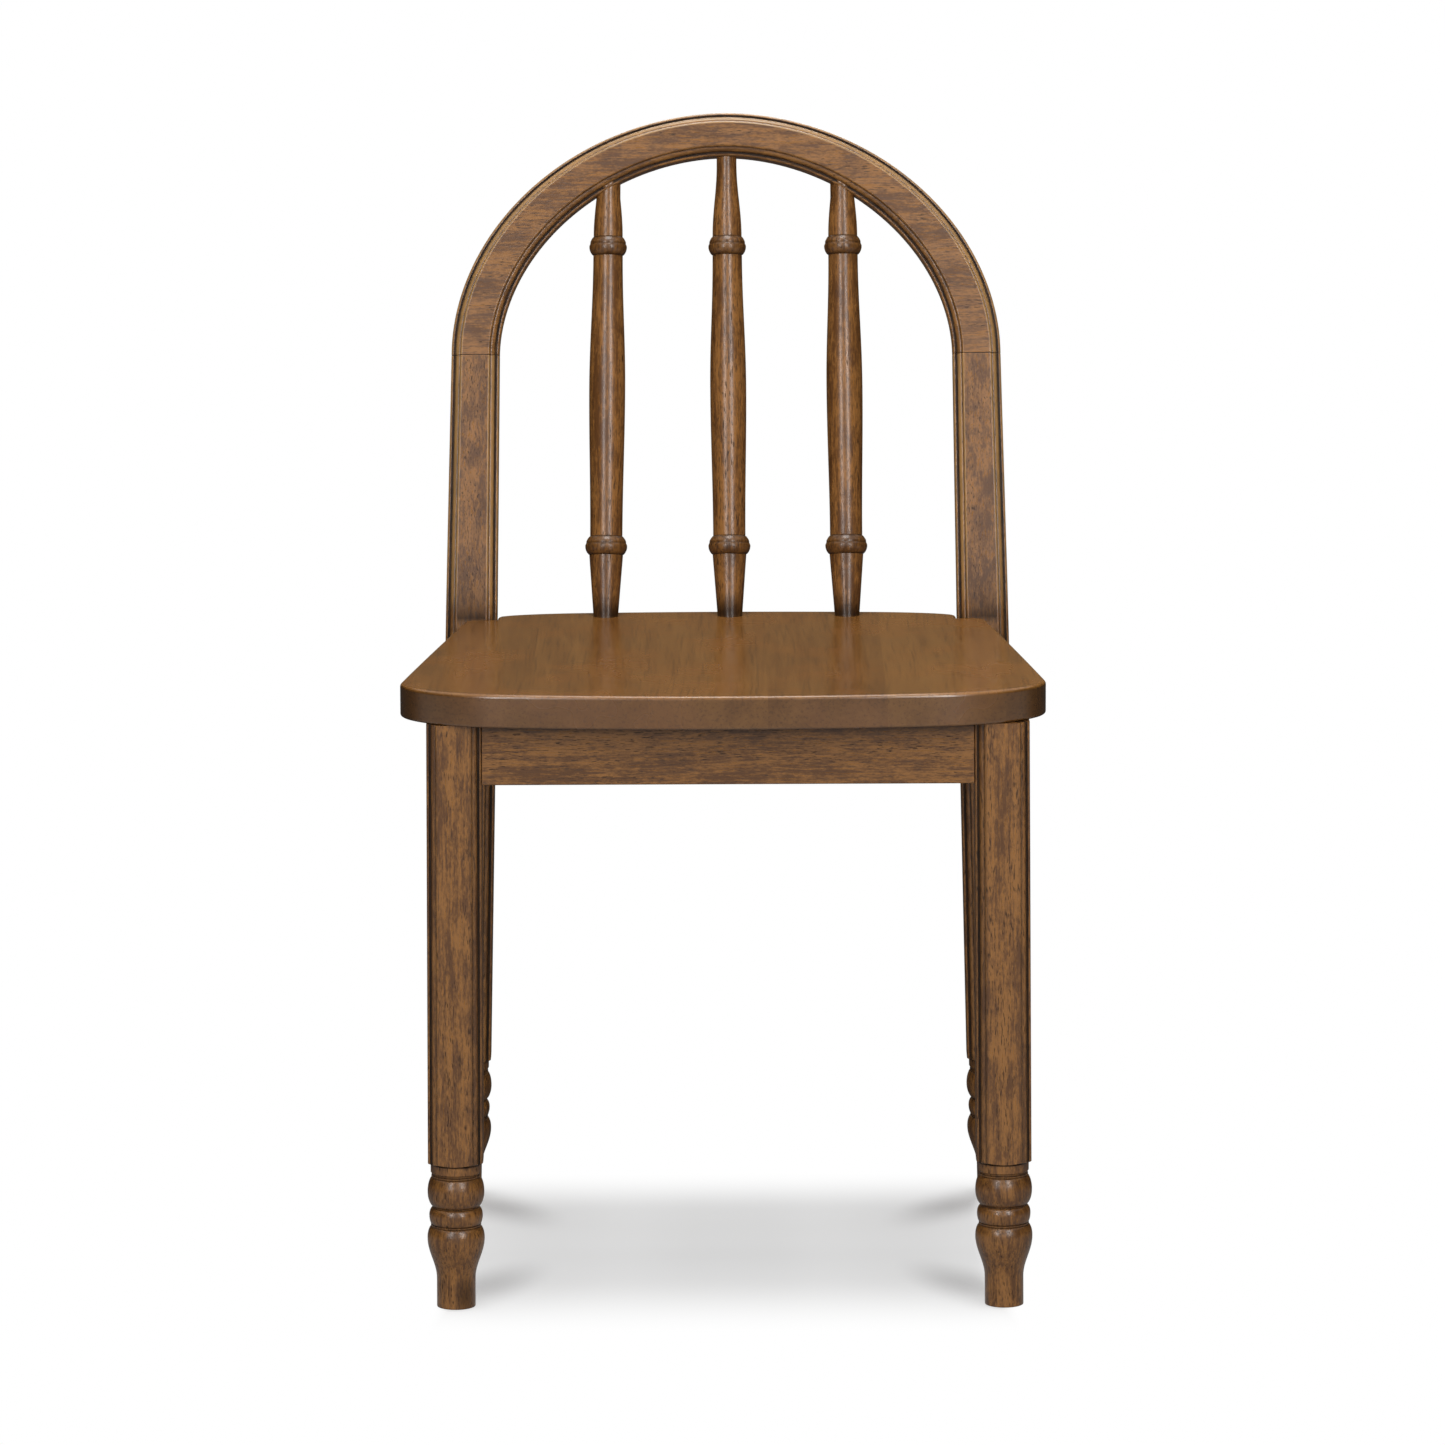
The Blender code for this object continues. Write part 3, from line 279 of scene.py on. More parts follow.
def spin(bm, rows):
    """Turn rows of (radius, height, glaze) about the z axis."""
    points = [new_vert(bm, (radius, 0, height), glaze_and_painted_light) for radius, height, glaze_and_painted_light in rows]
    edges = [bm.edges.new(pair) for pair in zip(points, points[1:])]
    bmesh.ops.spin(bm, geom=points + edges, cent=(0, 0, 0), axis=(0, 0, 1), dvec=(0, 0, 0),
                   angle=math.tau, steps=TURNED_STEPS, use_merge=True, use_duplicate=False)
    bmesh.ops.remove_doubles(bm, verts=bm.verts[:], dist=MERGE_DISTANCE)


def loft(bm, rings):
    """Bridge rings of (point, glaze) in turn; gives the edges of the first and last ring."""
    loops = []
    for ring in rings:
        points = [new_vert(bm, point, glaze_and_painted_light) for point, glaze_and_painted_light in ring]
        loops.append([bm.edges.new(pair) for pair in zip(points, points[1:] + points[:1])])
    for lower, upper in zip(loops, loops[1:]):
        bmesh.ops.bridge_loops(bm, edges=lower + upper)
    return loops[0], loops[-1]


def close(bm, edges):
    bmesh.ops.holes_fill(bm, edges=edges, sides=0)


def rounded(bm, edges, radius, steps):
    bmesh.ops.bevel(bm, geom=edges, offset=radius, offset_type="OFFSET", affect="EDGES",
                    segments=steps, profile=0.5, material=-1, clamp_overlap=True)


def along_grain(direction, seed, offset):
    """Matrix from the frame to the wood, with z along the grain and another place for each seed."""
    turned = Vector(direction).to_track_quat("Z", "Y").to_matrix().to_4x4().inverted()
    shift = Vector((0.083 * seed, 0.047 * seed, 0.71 * seed)) + Vector(offset)
    return Matrix.Translation(shift) @ turned


def add_piece(bm, name, nodes, material, grain):
    """Finish a mesh that stands for CAD nodes; grain is the matrix from the frame to the wood."""
    bmesh.ops.remove_doubles(bm, verts=bm.verts[:], dist=MERGE_DISTANCE)
    bmesh.ops.recalc_face_normals(bm, faces=bm.faces[:])
    if any(edge.is_boundary for edge in bm.edges):
        raise RuntimeError(f"{name} isn't closed")
    layer = bm.verts.layers.float_vector.new("grain")
    for vert in bm.verts:
        vert[layer] = grain @ vert.co
    mesh = bpy.data.meshes.new(name)
    bm.to_mesh(mesh)
    bm.free()
    mesh.shade_smooth()
    mesh.set_sharp_from_angle(angle=SHARP_ANGLE)
    mesh.materials.append(bpy.data.materials[material])
    piece = bpy.data.objects.new(name, mesh)
    bpy.context.scene.collection.objects.link(piece)
    even = piece.modifiers.new("even_faces", "WEIGHTED_NORMAL")
    even.keep_sharp = True
    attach(piece, "root")
    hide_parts(*nodes)


def add_frame_piece(bm, node, grain):
    add_piece(bm, node + "_finished", [node], "stained_rubberwood", grain)


# Shapes in plan and section


def arc(centre, radius, start, end, steps):
    turns = [math.radians(start + (end - start) * i / steps) for i in range(steps + 1)]
    return [centre + radius * Vector((math.cos(t), math.sin(t))) for t in turns]


def fillet(before, corner, after, radius, steps):
    """Points of the arc that rounds a corner between two straight sides."""
    inward = (before - corner).normalized()
    outward = (after - corner).normalized()
    half = inward.angle(outward) / 2
    centre = corner + (inward + outward).normalized() * radius / math.sin(half)
    reach = radius / math.tan(half)
    first = corner + inward * reach - centre
    last = corner + outward * reach - centre
    start = math.atan2(first.y, first.x)
    sweep = math.remainder(math.atan2(last.y, last.x) - start, math.tau)
    return arc(centre, radius, math.degrees(start), math.degrees(start + sweep), steps)


def bowed(start, end, bow, steps):
    """Points of a shallow curve that stands off its chord by bow, to the right of its run."""
    run = end - start
    aside = Vector((run.y, -run.x)).normalized() * bow
    shares = [i / steps for i in range(steps + 1)]
    return [start + run * share + aside * (1 - (2 * share - 1) ** 2) for share in shares]


def eased_corner(first, first_run, last, last_run):
    """Points of an elliptical corner that leaves one edge and joins the next without a kink."""
    apart = last - first
    across = first_run.x * last_run.y - first_run.y * last_run.x
    corner = first + first_run * (apart.x * last_run.y - apart.y * last_run.x) / across
    steps = 24
    points = []
    for i in range(1, steps):
        t = i / steps
        shares = (1 - t) ** 2, math.sqrt(2) * t * (1 - t), t ** 2
        whole = first * shares[0] + corner * shares[1] + last * shares[2]
        points.append(whole / sum(shares))
    return points


def bulge(low, low_radius, high, high_radius, widest, steps=16):
    """Rows of a rounded bead between two necks, darker at its ends with glaze and painted shade,
    and with painted shade over its upper part.
    """
    rows = []
    for i in range(1, steps):
        turn = math.pi * i / steps
        share = (1 - math.cos(turn)) / 2
        neck = low_radius + (high_radius - low_radius) * share
        swell = math.sin(turn) ** 1.32  # a little fuller at its ends than a sine squared
        # glaze and painted shade towards the necks, painted shade over the top of the bead
        stain = 0.05 + 0.35 * (1 - swell) + 0.25 * max(0, share - 0.7)
        rows.append((neck + (widest - neck) * swell, low + (high - low) * share, stain))
    return rows


def double_curve(low, low_radius, high, high_radius, steps=14, whole=1.0):
    """Rows of a double curve from one radius to another; whole stops it short."""
    rows = []
    for i in range(steps + 1):
        share = whole * i / steps
        ease = (1 - math.cos(math.pi * share)) / 2
        radius = low_radius + (high_radius - low_radius) * ease
        rows.append((radius, low + (high - low) * share, 0.0))
    return rows


def neck(height, radius, fillet_height, groove):
    """Rows of a narrow band with a groove on each side."""
    half = fillet_height / 2
    return [(radius, height - half - groove, 0.7), (radius - groove, height - half, 1.0),
            (radius + groove / 3, height - half + groove / 3, 0.45),
            (radius + groove / 3, height + half - groove / 3, 0.35),
            (radius - groove, height + half, 1.0), (radius, height + half + groove, 0.7)]


# Glaze and painted light round a moulding, point by point: 1 in the quirks, where glaze gathers and
# painted shade deepens the recess, and below 0 for a painted highlight along the edges and on the
# crown of the bead
EDGE_GLAZE_AND_PAINTED_LIGHT = (-0.2, -0.7, -1.0, -1.0, -0.8, -0.2, 0.8)
BEAD_GLAZE_AND_PAINTED_LIGHT = (1.0, 0.8, 0.1, -0.6, -0.9, -1.0, -0.9, -0.6, 0.1, 0.8, 1.0)


def corner_section(half_width, half_thickness, moulding):
    """One moulded corner as (point, glaze), from the side face round to the top face."""
    inset = moulding.width + moulding.ease
    centre = Vector((half_width - moulding.width, half_thickness - moulding.width))
    radius = moulding.width - moulding.step
    dip = math.degrees(math.asin(moulding.quirk_depth / radius))
    wall = radius + moulding.quirk_width
    floor = moulding.quirk_depth
    foot = wall - floor / 4
    side = Vector((half_width - moulding.ease, half_thickness - inset))
    top = Vector((half_width - inset, half_thickness - moulding.ease))
    support = moulding.ease / 4
    section = [(side + Vector((moulding.ease, -support)), 0.0)]
    section += list(zip(arc(side, moulding.ease, 0, 90, 6), EDGE_GLAZE_AND_PAINTED_LIGHT))
    section += [(centre + Vector(p), 1.0) for p in ((wall, 0), (foot, -floor))]
    section += list(zip(arc(centre, radius, -dip, 90 + dip, 10), BEAD_GLAZE_AND_PAINTED_LIGHT))
    section += [(centre + Vector(p), 1.0) for p in ((-floor, foot), (0, wall))]
    section += list(zip(arc(top, moulding.ease, 0, 90, 6), reversed(EDGE_GLAZE_AND_PAINTED_LIGHT)))
    section.append((top + Vector((-support, moulding.ease)), 0.0))
    return section


def moulded_section(width, thickness, moulding):
    """Square section with four moulded corners."""
    corner = corner_section(width / 2, thickness / 2, moulding)
    next_corner = corner_section(thickness / 2, width / 2, moulding)
    corners = [corner, [(Vector((-p.y, p.x)), glaze_and_painted_light) for p, glaze_and_painted_light in next_corner],
               [(-p, glaze_and_painted_light) for p, glaze_and_painted_light in corner],
               [(Vector((p.y, -p.x)), glaze_and_painted_light) for p, glaze_and_painted_light in next_corner]]
    section = []
    for this, following in zip(corners, corners[1:] + corners[:1]):
        start, end = this[-1][0], following[0][0]
        section += this + [(start.lerp(end, share / 8), 0.0) for share in range(1, 8)]
    return section


# Where things stand


def in_frame():
    """Matrix from width, depth behind the front legs' faces, and height, to the frame."""
    left, right = (sum(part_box(f"foot_glide_front_{word}"), Vector()) / 2 for _, word in SIDES)
    middle = (left + right) / 2
    return Matrix.Translation((middle.x, middle.y - bpy.context.scene.chair_legs.width / 2, 0))


def back_plane():
    """Matrix from the leaning plane of the back to the frame."""
    legs = bpy.context.scene.chair_legs
    pivot = Matrix.Translation((0, legs.bend_depth, bpy.context.scene.chair_seat.top))
    return in_frame() @ pivot @ Matrix.Rotation(-legs.lean, 4, "X")


def frame_top():
    seat = bpy.context.scene.chair_seat
    return seat.top - seat.thickness - GAP


def joint_height():
    legs = bpy.context.scene.chair_legs
    return bpy.context.scene.chair_seat.top + legs.post_rise * math.cos(legs.lean)


def back_line(legs):
    """Stations of the back leg's middle line, as (depth, height, slope), from the foot up."""
    steps = 14
    top = bpy.context.scene.chair_seat.top
    reach = legs.bend_radius * math.tan((legs.rake + legs.lean) / 2)
    depth = legs.bend_depth + reach * math.sin(legs.rake) + legs.bend_radius * math.cos(legs.rake)
    height = top - reach * math.cos(legs.rake) + legs.bend_radius * math.sin(legs.rake)
    stations = []
    for level in (legs.foot_top, legs.foot_top + SHOULDER_HEIGHT):
        stations.append((legs.bend_depth + (top - level) * math.tan(legs.rake), level, -legs.rake))
    for i in range(steps + 1):
        slope = (legs.rake + legs.lean) * i / steps - legs.rake
        stations.append((depth - legs.bend_radius * math.cos(slope),
                         height + legs.bend_radius * math.sin(slope), slope))
    rises = [legs.post_rise * share for share in POST_SECTIONS]
    rises += [legs.post_rise - short for short in (*NEAR_SEAM, 0)]
    for rise in rises:
        stations.append((legs.bend_depth + rise * math.sin(legs.lean),
                         top + rise * math.cos(legs.lean), legs.lean))
    return stations


def front_spread(legs, height):
    return legs.spread + (frame_top() - height) * math.tan(legs.splay)


def back_width(legs, height):
    seat_top = bpy.context.scene.chair_seat.top
    if height < seat_top:
        share = (height - legs.foot_top) / (seat_top - legs.foot_top)
        return legs.width + (legs.post_seat_width - legs.width) * share
    share = (height - seat_top) / (joint_height() - seat_top)
    return legs.post_seat_width + (legs.post_width - legs.post_seat_width) * share


def back_thickness(legs, height):
    share = (height - legs.foot_top) / (joint_height() - legs.foot_top)
    return legs.width + (legs.post_thickness - legs.width) * share


def back_spread(legs, height):
    seat_top = bpy.context.scene.chair_seat.top
    above = joint_height() - max(height, seat_top)
    below = seat_top - min(height, seat_top)
    return legs.post_spread + above * math.tan(legs.post_splay) + below * math.tan(legs.back_splay)


def back_inner_face(legs, height):
    """Width from the middle to the inner face of back leg and post at a height."""
    return back_spread(legs, height) - back_width(legs, height) / 2


def back_face_depth(legs, height, towards):
    """Depth of the front (-1) or back (+1) face of back leg and post at a height."""
    edges = []
    for depth, station, slope in back_line(legs):
        half = towards * back_thickness(legs, station) / 2
        edges.append((depth + half * math.cos(slope), station - half * math.sin(slope)))
    for (depth_a, height_a), (depth_b, height_b) in zip(edges, edges[1:]):
        if height <= height_b:
            break
    share = (height - height_a) / (height_b - height_a)
    return depth_a + (depth_b - depth_a) * share


# Legs


def foot_rows(foot, legs):
    """Rows of a turned foot, from under the floor up to the square part."""
    collar = foot.collar / 2
    ease = 0.8 * MM
    bottom = legs.foot_top - foot.collar_length
    rows = [(0, -BELOW_FLOOR, 0.3)]
    rows += [(foot.tip / 2, level * foot.tip_height / 8, 0.15 * (level < 1))
             for level in range(-1, 8)]
    rows += double_curve(foot.tip_height, foot.tip / 2, foot.vase_height, foot.vase / 2)
    low = foot.lower_neck_height
    low_half = foot.fillet / 2 + foot.groove
    whole = bulge(2 * foot.vase_height - low + low_half, foot.lower_neck / 2,
                  low - low_half, foot.lower_neck / 2, foot.vase / 2, 24)
    rows += [row for row in whole if row[1] > foot.vase_height + foot.groove]
    rows += neck(low, foot.lower_neck / 2, foot.fillet, foot.groove)
    middle = foot.middle_neck_height
    rows += bulge(low + low_half, foot.lower_neck / 2, middle - foot.groove,
                  foot.middle_neck / 2, foot.ring / 2)
    rows += neck(middle, foot.middle_neck / 2, foot.groove, foot.groove / 2)
    upper = foot.upper_neck_height
    rows += bulge(middle + foot.groove, foot.middle_neck / 2, upper - low_half,
                  foot.upper_neck / 2, foot.ball / 2, 22)
    rows += neck(upper, foot.upper_neck / 2, foot.fillet, foot.groove)
    top = legs.foot_top
    return rows + [(collar - ease, bottom, 0.5), (collar, bottom + ease, 0.1),
                   (collar, top - 3 * ease, 0.0), (collar, top - 2 * ease, 0.8),
                   (collar - ease, top - ease, 1.0)]


def start_leg(x, depth, rake, splay):
    """Turn a foot, set it under its leg, and cut it level with the floor."""
    scene = bpy.context.scene
    legs = scene.chair_legs
    bm = new_bmesh()
    spin(bm, foot_rows(scene.chair_foot, legs))
    pivot = Matrix.Translation((0, 0, legs.foot_top))
    tilt = Matrix.Rotation(splay, 4, "Y") @ Matrix.Rotation(rake, 4, "X")
    placed = Matrix.Translation((x, depth, 0)) @ pivot @ tilt @ pivot.inverted()
    bmesh.ops.transform(bm, matrix=placed, verts=bm.verts[:])
    cut = bmesh.ops.bisect_plane(bm, geom=bm.verts[:] + bm.edges[:] + bm.faces[:],
                                 plane_co=(0, 0, legs.foot_bottom), plane_no=(0, 0, -1),
                                 clear_outer=True)["geom_cut"]
    rim = [part for part in cut if isinstance(part, bmesh.types.BMEdge)]
    close(bm, rim)
    rounded(bm, rim, 0.5 * MM, 2)
    return bm


def shoulder_rise(legs, spot, level):
    """How the turned shoulder dips from the corners to the middle of each face."""
    return (spot.length - legs.width * 0.55) * legs.shoulder_slope if level < 1 * MM else 0


def stain_patch(bm, centre, reach, strength):
    """A darker patch where the stain soaked into end grain."""
    layer = bm.verts.layers.float["glaze_and_painted_light"]
    for vert in bm.verts:
        apart = Vector((vert.co[i] - centre[i]) / reach[i] for i in range(3)).length
        vert[layer] = min(1, vert[layer] + strength * max(0, 1 - apart ** 2))


def finish_leg(bm, node, rings, grain):
    """Join the square part to the turned foot, and close its top."""
    collar_top = [edge for edge in bm.edges if edge.is_boundary]
    first, last = loft(bm, rings)
    close(bm, last)
    bmesh.ops.bridge_loops(bm, edges=collar_top + first)
    bmesh.ops.transform(bm, matrix=in_frame(), verts=bm.verts[:])
    add_frame_piece(bm, node, grain)


def front_ring(legs, section, side, level):
    """One section of a front leg, at a level above its foot. Only its outer edges keep a weak
    painted highlight; its inner edges get painted shade instead.
    """
    ring = []
    for p, glaze_and_painted_light in section:
        # A weak painted highlight on the outer edges, painted shade on the inner ones
        if glaze_and_painted_light < 0:
            glaze_and_painted_light = 0.3 + 0.5 * glaze_and_painted_light if p.x * side > 0 else 0.3
        shrink = 0.98 if level == 0 else 1  # the shoulder starts just inside the faces
        height = legs.foot_top + level + shoulder_rise(legs, p, level)
        spot = Vector((side * front_spread(legs, height) + p.x * shrink,
                       legs.width / 2 + p.y * shrink, height))
        ring.append((spot, max(glaze_and_painted_light, 0.7) if level == 0 else glaze_and_painted_light))
    return ring


class CHAIR_OT_front_legs(bpy.types.Operator):
    """Make the two square front legs with their turned feet"""

    bl_idname = "chair.front_legs"
    bl_label = "Front Legs"

    def execute(self, context):
        legs, moulding = context.scene.chair_legs, context.scene.chair_moulding
        section = moulded_section(legs.width, legs.width, moulding)
        for side, word in SIDES:
            bm = start_leg(side * front_spread(legs, legs.foot_top), legs.width / 2, 0,
                           -side * legs.splay)
            rings = [front_ring(legs, section, side, level)
                     for level in (0, 0.5 * MM, SHOULDER_HEIGHT, frame_top() - legs.foot_top)]
            if side < 0:
                stain_patch(bm, *STAINED_FOOT)
            grain = along_grain((0, 0, 1), 3 + side, (0.045, 0.06 * side, 0))
            finish_leg(bm, f"front_leg_{word}", rings, grain)
        return {"FINISHED"}


def darkening_near_seat(above):
    """How much darker a post is near the seat, by the height above the seat: steeply just above it,
    and as painted shade further up.
    """
    close_height, shaded_height = 11 * MM, 110 * MM
    return 0.75 * math.exp(-abs(above) / close_height) + 0.2 * max(0, 1 - above / shaded_height)


def back_ring(legs, moulding, side, station, seam):
    """One section of a back leg or post, square to its middle line."""
    depth, height, slope = station
    shrink = 1 - seam * SEAM_EASE / legs.post_width
    above = height - bpy.context.scene.chair_seat.top
    # Darker towards the seat; the painted highlight on the edges fades there, and is kept weak
    # below the seat
    soaked = darkening_near_seat(above) if above > -5 * MM else 0.05
    painted_highlight = 0.2 if above < 0 else 1 - soaked
    ring = []
    width, thickness = back_width(legs, height), back_thickness(legs, height)
    for p, glaze_and_painted_light in moulded_section(width, thickness, moulding):
        rise = shoulder_rise(legs, p, height - legs.foot_top)
        spot = Vector((side * back_spread(legs, height) + p.x * shrink,
                       depth + p.y * shrink * math.cos(slope) + rise * math.sin(slope),
                       height - p.y * shrink * math.sin(slope) + rise * math.cos(slope)))
        shown = glaze_and_painted_light * painted_highlight if glaze_and_painted_light < 0 else glaze_and_painted_light + (1 - glaze_and_painted_light) * soaked
        ring.append((spot, seam or shown))
    return ring


class CHAIR_OT_back_legs(bpy.types.Operator):
    """Make the two back legs, each in one piece with its post"""

    bl_idname = "chair.back_legs"
    bl_label = "Back Legs"

    def execute(self, context):
        legs, moulding = context.scene.chair_legs, context.scene.chair_moulding
        stations = back_line(legs)
        for side, word in SIDES:
            bm = start_leg(side * back_spread(legs, legs.foot_top), stations[0][0], legs.rake,
                           -side * legs.back_splay)
            rings = [back_ring(legs, moulding, side, station, 1.0 * (station is stations[-1]))
                     for station in stations]
            grain = along_grain((0, 0, 1), 7 + side, (0.05, -0.05 * side, 0))
            finish_leg(bm, f"back_leg_{word}", rings, grain)
        return {"FINISHED"}


# Arch


def arch_edge(turn, half, rise, fullness):
    """A point on one edge of the arch, by its angle above the joint."""
    bend = 2 / fullness
    across = math.copysign(abs(math.cos(turn)) ** bend, math.cos(turn))
    return Vector((half * across, rise * abs(math.sin(turn)) ** bend))


def arch_edges(turn):
    """The points of the outer and inner edge, by their angle above the joint."""
    arch, legs = bpy.context.scene.chair_arch, bpy.context.scene.chair_legs
    half = legs.post_width / 2
    return (arch_edge(turn, legs.post_spread + half, arch.rise, arch.outer_fullness),
            arch_edge(turn, legs.post_spread - half, arch.rise - arch.width_at_top,
                      arch.inner_fullness))


def arch_inner_rise(x):
    """Rise of the arch's inner edge above the joint, up the slope, at x."""
    scene = bpy.context.scene
    half = scene.chair_legs.post_spread - scene.chair_legs.post_width / 2
    rise = scene.chair_arch.rise - scene.chair_arch.width_at_top
    power = scene.chair_arch.inner_fullness
    return rise * (1 - (abs(x) / half) ** power) ** (1 / power)


class CHAIR_OT_arch(bpy.types.Operator):
    """Make the moulded rail that bends over from post to post"""

    bl_idname = "chair.arch"
    bl_label = "Arched Rail"

    def execute(self, context):
        scene, steps = context.scene, 96
        legs = scene.chair_legs
        near = [short / scene.chair_arch.rise for short in NEAR_SEAM]
        turns = [0, *reversed(near)] + [math.pi * i / steps for i in range(1, steps)]
        turns += [math.pi - turn for turn in near] + [math.pi]
        rings = []
        for turn in turns:
            outer, inner = arch_edges(turn)
            across, middle = outer - inner, (outer + inner) / 2
            seam = 1.0 * (turn in (0, math.pi))
            shrink = 1 - seam * SEAM_EASE / legs.post_width
            ring = []
            section = moulded_section(across.length, legs.post_thickness, scene.chair_moulding)
            for p, glaze_and_painted_light in section:
                spot = middle + across.normalized() * p.x * shrink
                if glaze_and_painted_light < 0 and p.x < 0:
                    glaze_and_painted_light *= 0.3  # a weaker painted highlight on the inner edge
                ring.append((Vector((spot.x, p.y * shrink, legs.post_rise + GAP + spot.y)),
                             seam or glaze_and_painted_light))
            rings.append(ring)
        bm = new_bmesh()
        first, last = loft(bm, rings)
        close(bm, first + last)
        bmesh.ops.transform(bm, matrix=back_plane(), verts=bm.verts[:])
        add_frame_piece(bm, "arch_rail", along_grain((1, 0, 0), 12, (0.03, 0.05, 0)))
        return {"FINISHED"}


# Spindles


def spindle_rows(sizes, shoulder, top):
    """Rows of a spindle whose plain upper end runs from shoulder to top."""
    low = sizes.lower_bead_height - sizes.lower_bead_length / 2
    low_end = sizes.lower_bead_height + sizes.lower_bead_length / 2
    high = sizes.upper_bead_height - sizes.upper_bead_length / 2
    high_end = sizes.upper_bead_height + sizes.upper_bead_length / 2
    foot, foot_top, shaft_bottom, belly, shaft_top, neck_radius, tip = (
        size / 2 for size in (sizes.foot, sizes.foot_top, sizes.shaft_bottom, sizes.belly,
                              sizes.shaft_top, sizes.shoulder, sizes.tip))
    rows = [(0, -sizes.tenon, 0), (foot, -sizes.tenon, 0)]
    for height, glaze_and_painted_light in ((0, 1.0), (3, 0.97), (7, 0.8), (12, 0.5), (18, 0.2), (28, 0.03)):
        rows.append((foot + (foot_top - foot) * height * MM / low, height * MM, glaze_and_painted_light))
    rows += [(foot_top, low - GROOVE, 0.2), (foot_top - GROOVE / 2, low, 1.0)]
    rows += spindle_bead(low, foot_top, low_end, shaft_bottom, sizes.lower_bead / 2)
    rows.append((shaft_bottom - GROOVE / 2, low_end, 0.9))
    rows += double_curve(low_end + GROOVE, shaft_bottom, sizes.belly_height, belly, 16)
    rows += double_curve(sizes.belly_height, belly, high - GROOVE, shaft_top, 16)[1:]
    rows.append((shaft_top - GROOVE / 2, high, 1.0))
    rows += spindle_bead(high, shaft_top, high_end, neck_radius, sizes.upper_bead / 2)
    rows.append((neck_radius - GROOVE / 2, high_end, 0.9))
    whole = (min(shoulder, sizes.tip_height) - high_end) / (sizes.tip_height - high_end)
    rows += double_curve(high_end + GROOVE, neck_radius, sizes.tip_height, tip, 14, whole)
    end = rows[-1][0]
    return rows + [(end, top - 2 * MM, 0), (end, top, 0), (0, top, 0)]


def spindle_bead(low, low_radius, high, high_radius, widest):
    """Rows of a bead, fullest below its middle, that a shallow crease parts into two rolls."""
    steps, low_fullness, roundness = 48, 0.88, 0.75
    crease_place, crease_reach, crease_depth = 0.62, 0.07, 0.45 * MM
    rows = []
    for i in range(1, steps):
        share = (1 - math.cos(math.pi * i / steps)) / 2
        swell = math.sin(math.pi * share ** low_fullness) ** roundness
        shaft = low_radius + (high_radius - low_radius) * share
        crease = math.exp(-((share - crease_place) / crease_reach) ** 2)
        ends = abs(2 * share - 1) ** 6
        radius = shaft + (widest - shaft) * swell - crease_depth * crease
        rows.append((radius, low + (high - low) * share, min(1, 0.4 + 0.3 * crease + 0.5 * ends)))
    return rows


class CHAIR_OT_spindles(bpy.types.Operator):
    """Make the three turned spindles between seat and arch"""

    bl_idname = "chair.spindles"
    bl_label = "Spindles"

    def execute(self, context):
        sizes, legs = context.scene.chair_spindles, context.scene.chair_legs
        for place, word in ((-1, "left"), (0, "middle"), (1, "right")):
            top_x = place * sizes.arch_spacing if place else sizes.arch_drift
            foot = Vector((place * sizes.seat_spacing if place else sizes.seat_drift, 0, 0))
            foot.x -= sizes.left_drift * (place < 0)
            along = Vector((top_x, 0, legs.post_rise + arch_inner_rise(top_x))) - foot
            drop = arch_inner_rise(top_x) - arch_inner_rise(abs(top_x) + sizes.shoulder / 2)
            placed = Matrix.Translation(foot) @ along.to_track_quat("Z", "Y").to_matrix().to_4x4()
            bm = new_bmesh()
            spin(bm, spindle_rows(sizes, along.length - drop, along.length + sizes.tenon))
            bmesh.ops.transform(bm, matrix=back_plane() @ placed, verts=bm.verts[:])
            axis = (back_plane() @ placed).to_3x3() @ Vector((0, 0, 1))
            grain = along_grain(axis, 17 + 2 * place, (0.03, 0.04 * place, 0))
            add_frame_piece(bm, f"spindle_{word}", grain)
        return {"FINISHED"}


# Seat


def seat_half(seat, legs, side):
    """Half of the seat in plan, from the front to the rear, as if it were the right half."""
    under = seat.top - seat.thickness
    levels = [under + seat.thickness * i / 8 for i in range(9)]
    notch_inner = min(back_inner_face(legs, level) for level in levels) - GAP
    notch_depth = min(back_face_depth(legs, level, -1) for level in levels) - GAP
    rear = legs.bend_depth + seat.tongue_reach
    front_corner = Vector((seat.half_width - side * seat.front_skew,
                           seat.front_bow - seat.overhang))
    front_left = Vector((-front_corner.x, front_corner.y))
    rear_corner = Vector((seat.half_width - seat.side_taper - side * seat.rear_skew, notch_depth))
    notch_corner = Vector((notch_inner, notch_depth))
    tongue_corner = Vector((notch_inner, rear - seat.rear_bow))
    tongue_left = Vector((-tongue_corner.x, tongue_corner.y))
    front = [p for p in bowed(front_left, front_corner, seat.front_bow, 96)
             if MERGE_DISTANCE < p.x < front_corner.x - seat.corner_width]
    edge = bowed(front_corner, rear_corner, seat.side_bow, 48)
    flank = [p for p in edge
             if front_corner.y + seat.corner_depth < p.y < rear_corner.y - seat.rear_corner]
    back = [p for p in bowed(tongue_corner, tongue_left, seat.rear_bow, 96)
            if MERGE_DISTANCE < p.x < tongue_corner.x - seat.tongue_width]
    half = [Vector((0, -seat.overhang))] + front
    half += eased_corner(front[-1], front[-1] - front[-2], flank[0], flank[1] - flank[0])
    half += flank + fillet(edge[-2], rear_corner, notch_corner, seat.rear_corner, 12)
    tongue_start = tongue_corner - Vector((0, seat.tongue_depth))
    half += [notch_corner, tongue_start]
    half += eased_corner(tongue_start, Vector((0, 1)), back[0], back[1] - back[0]) + back
    return half + [Vector((0, rear))]


def seat_outline(seat, legs):
    """The seat in plan: bowed front and sides, and a tongue between the posts."""
    left = [Vector((-p.x, p.y)) for p in reversed(seat_half(seat, legs, -1)[1:-1])]
    return seat_half(seat, legs, 1) + left


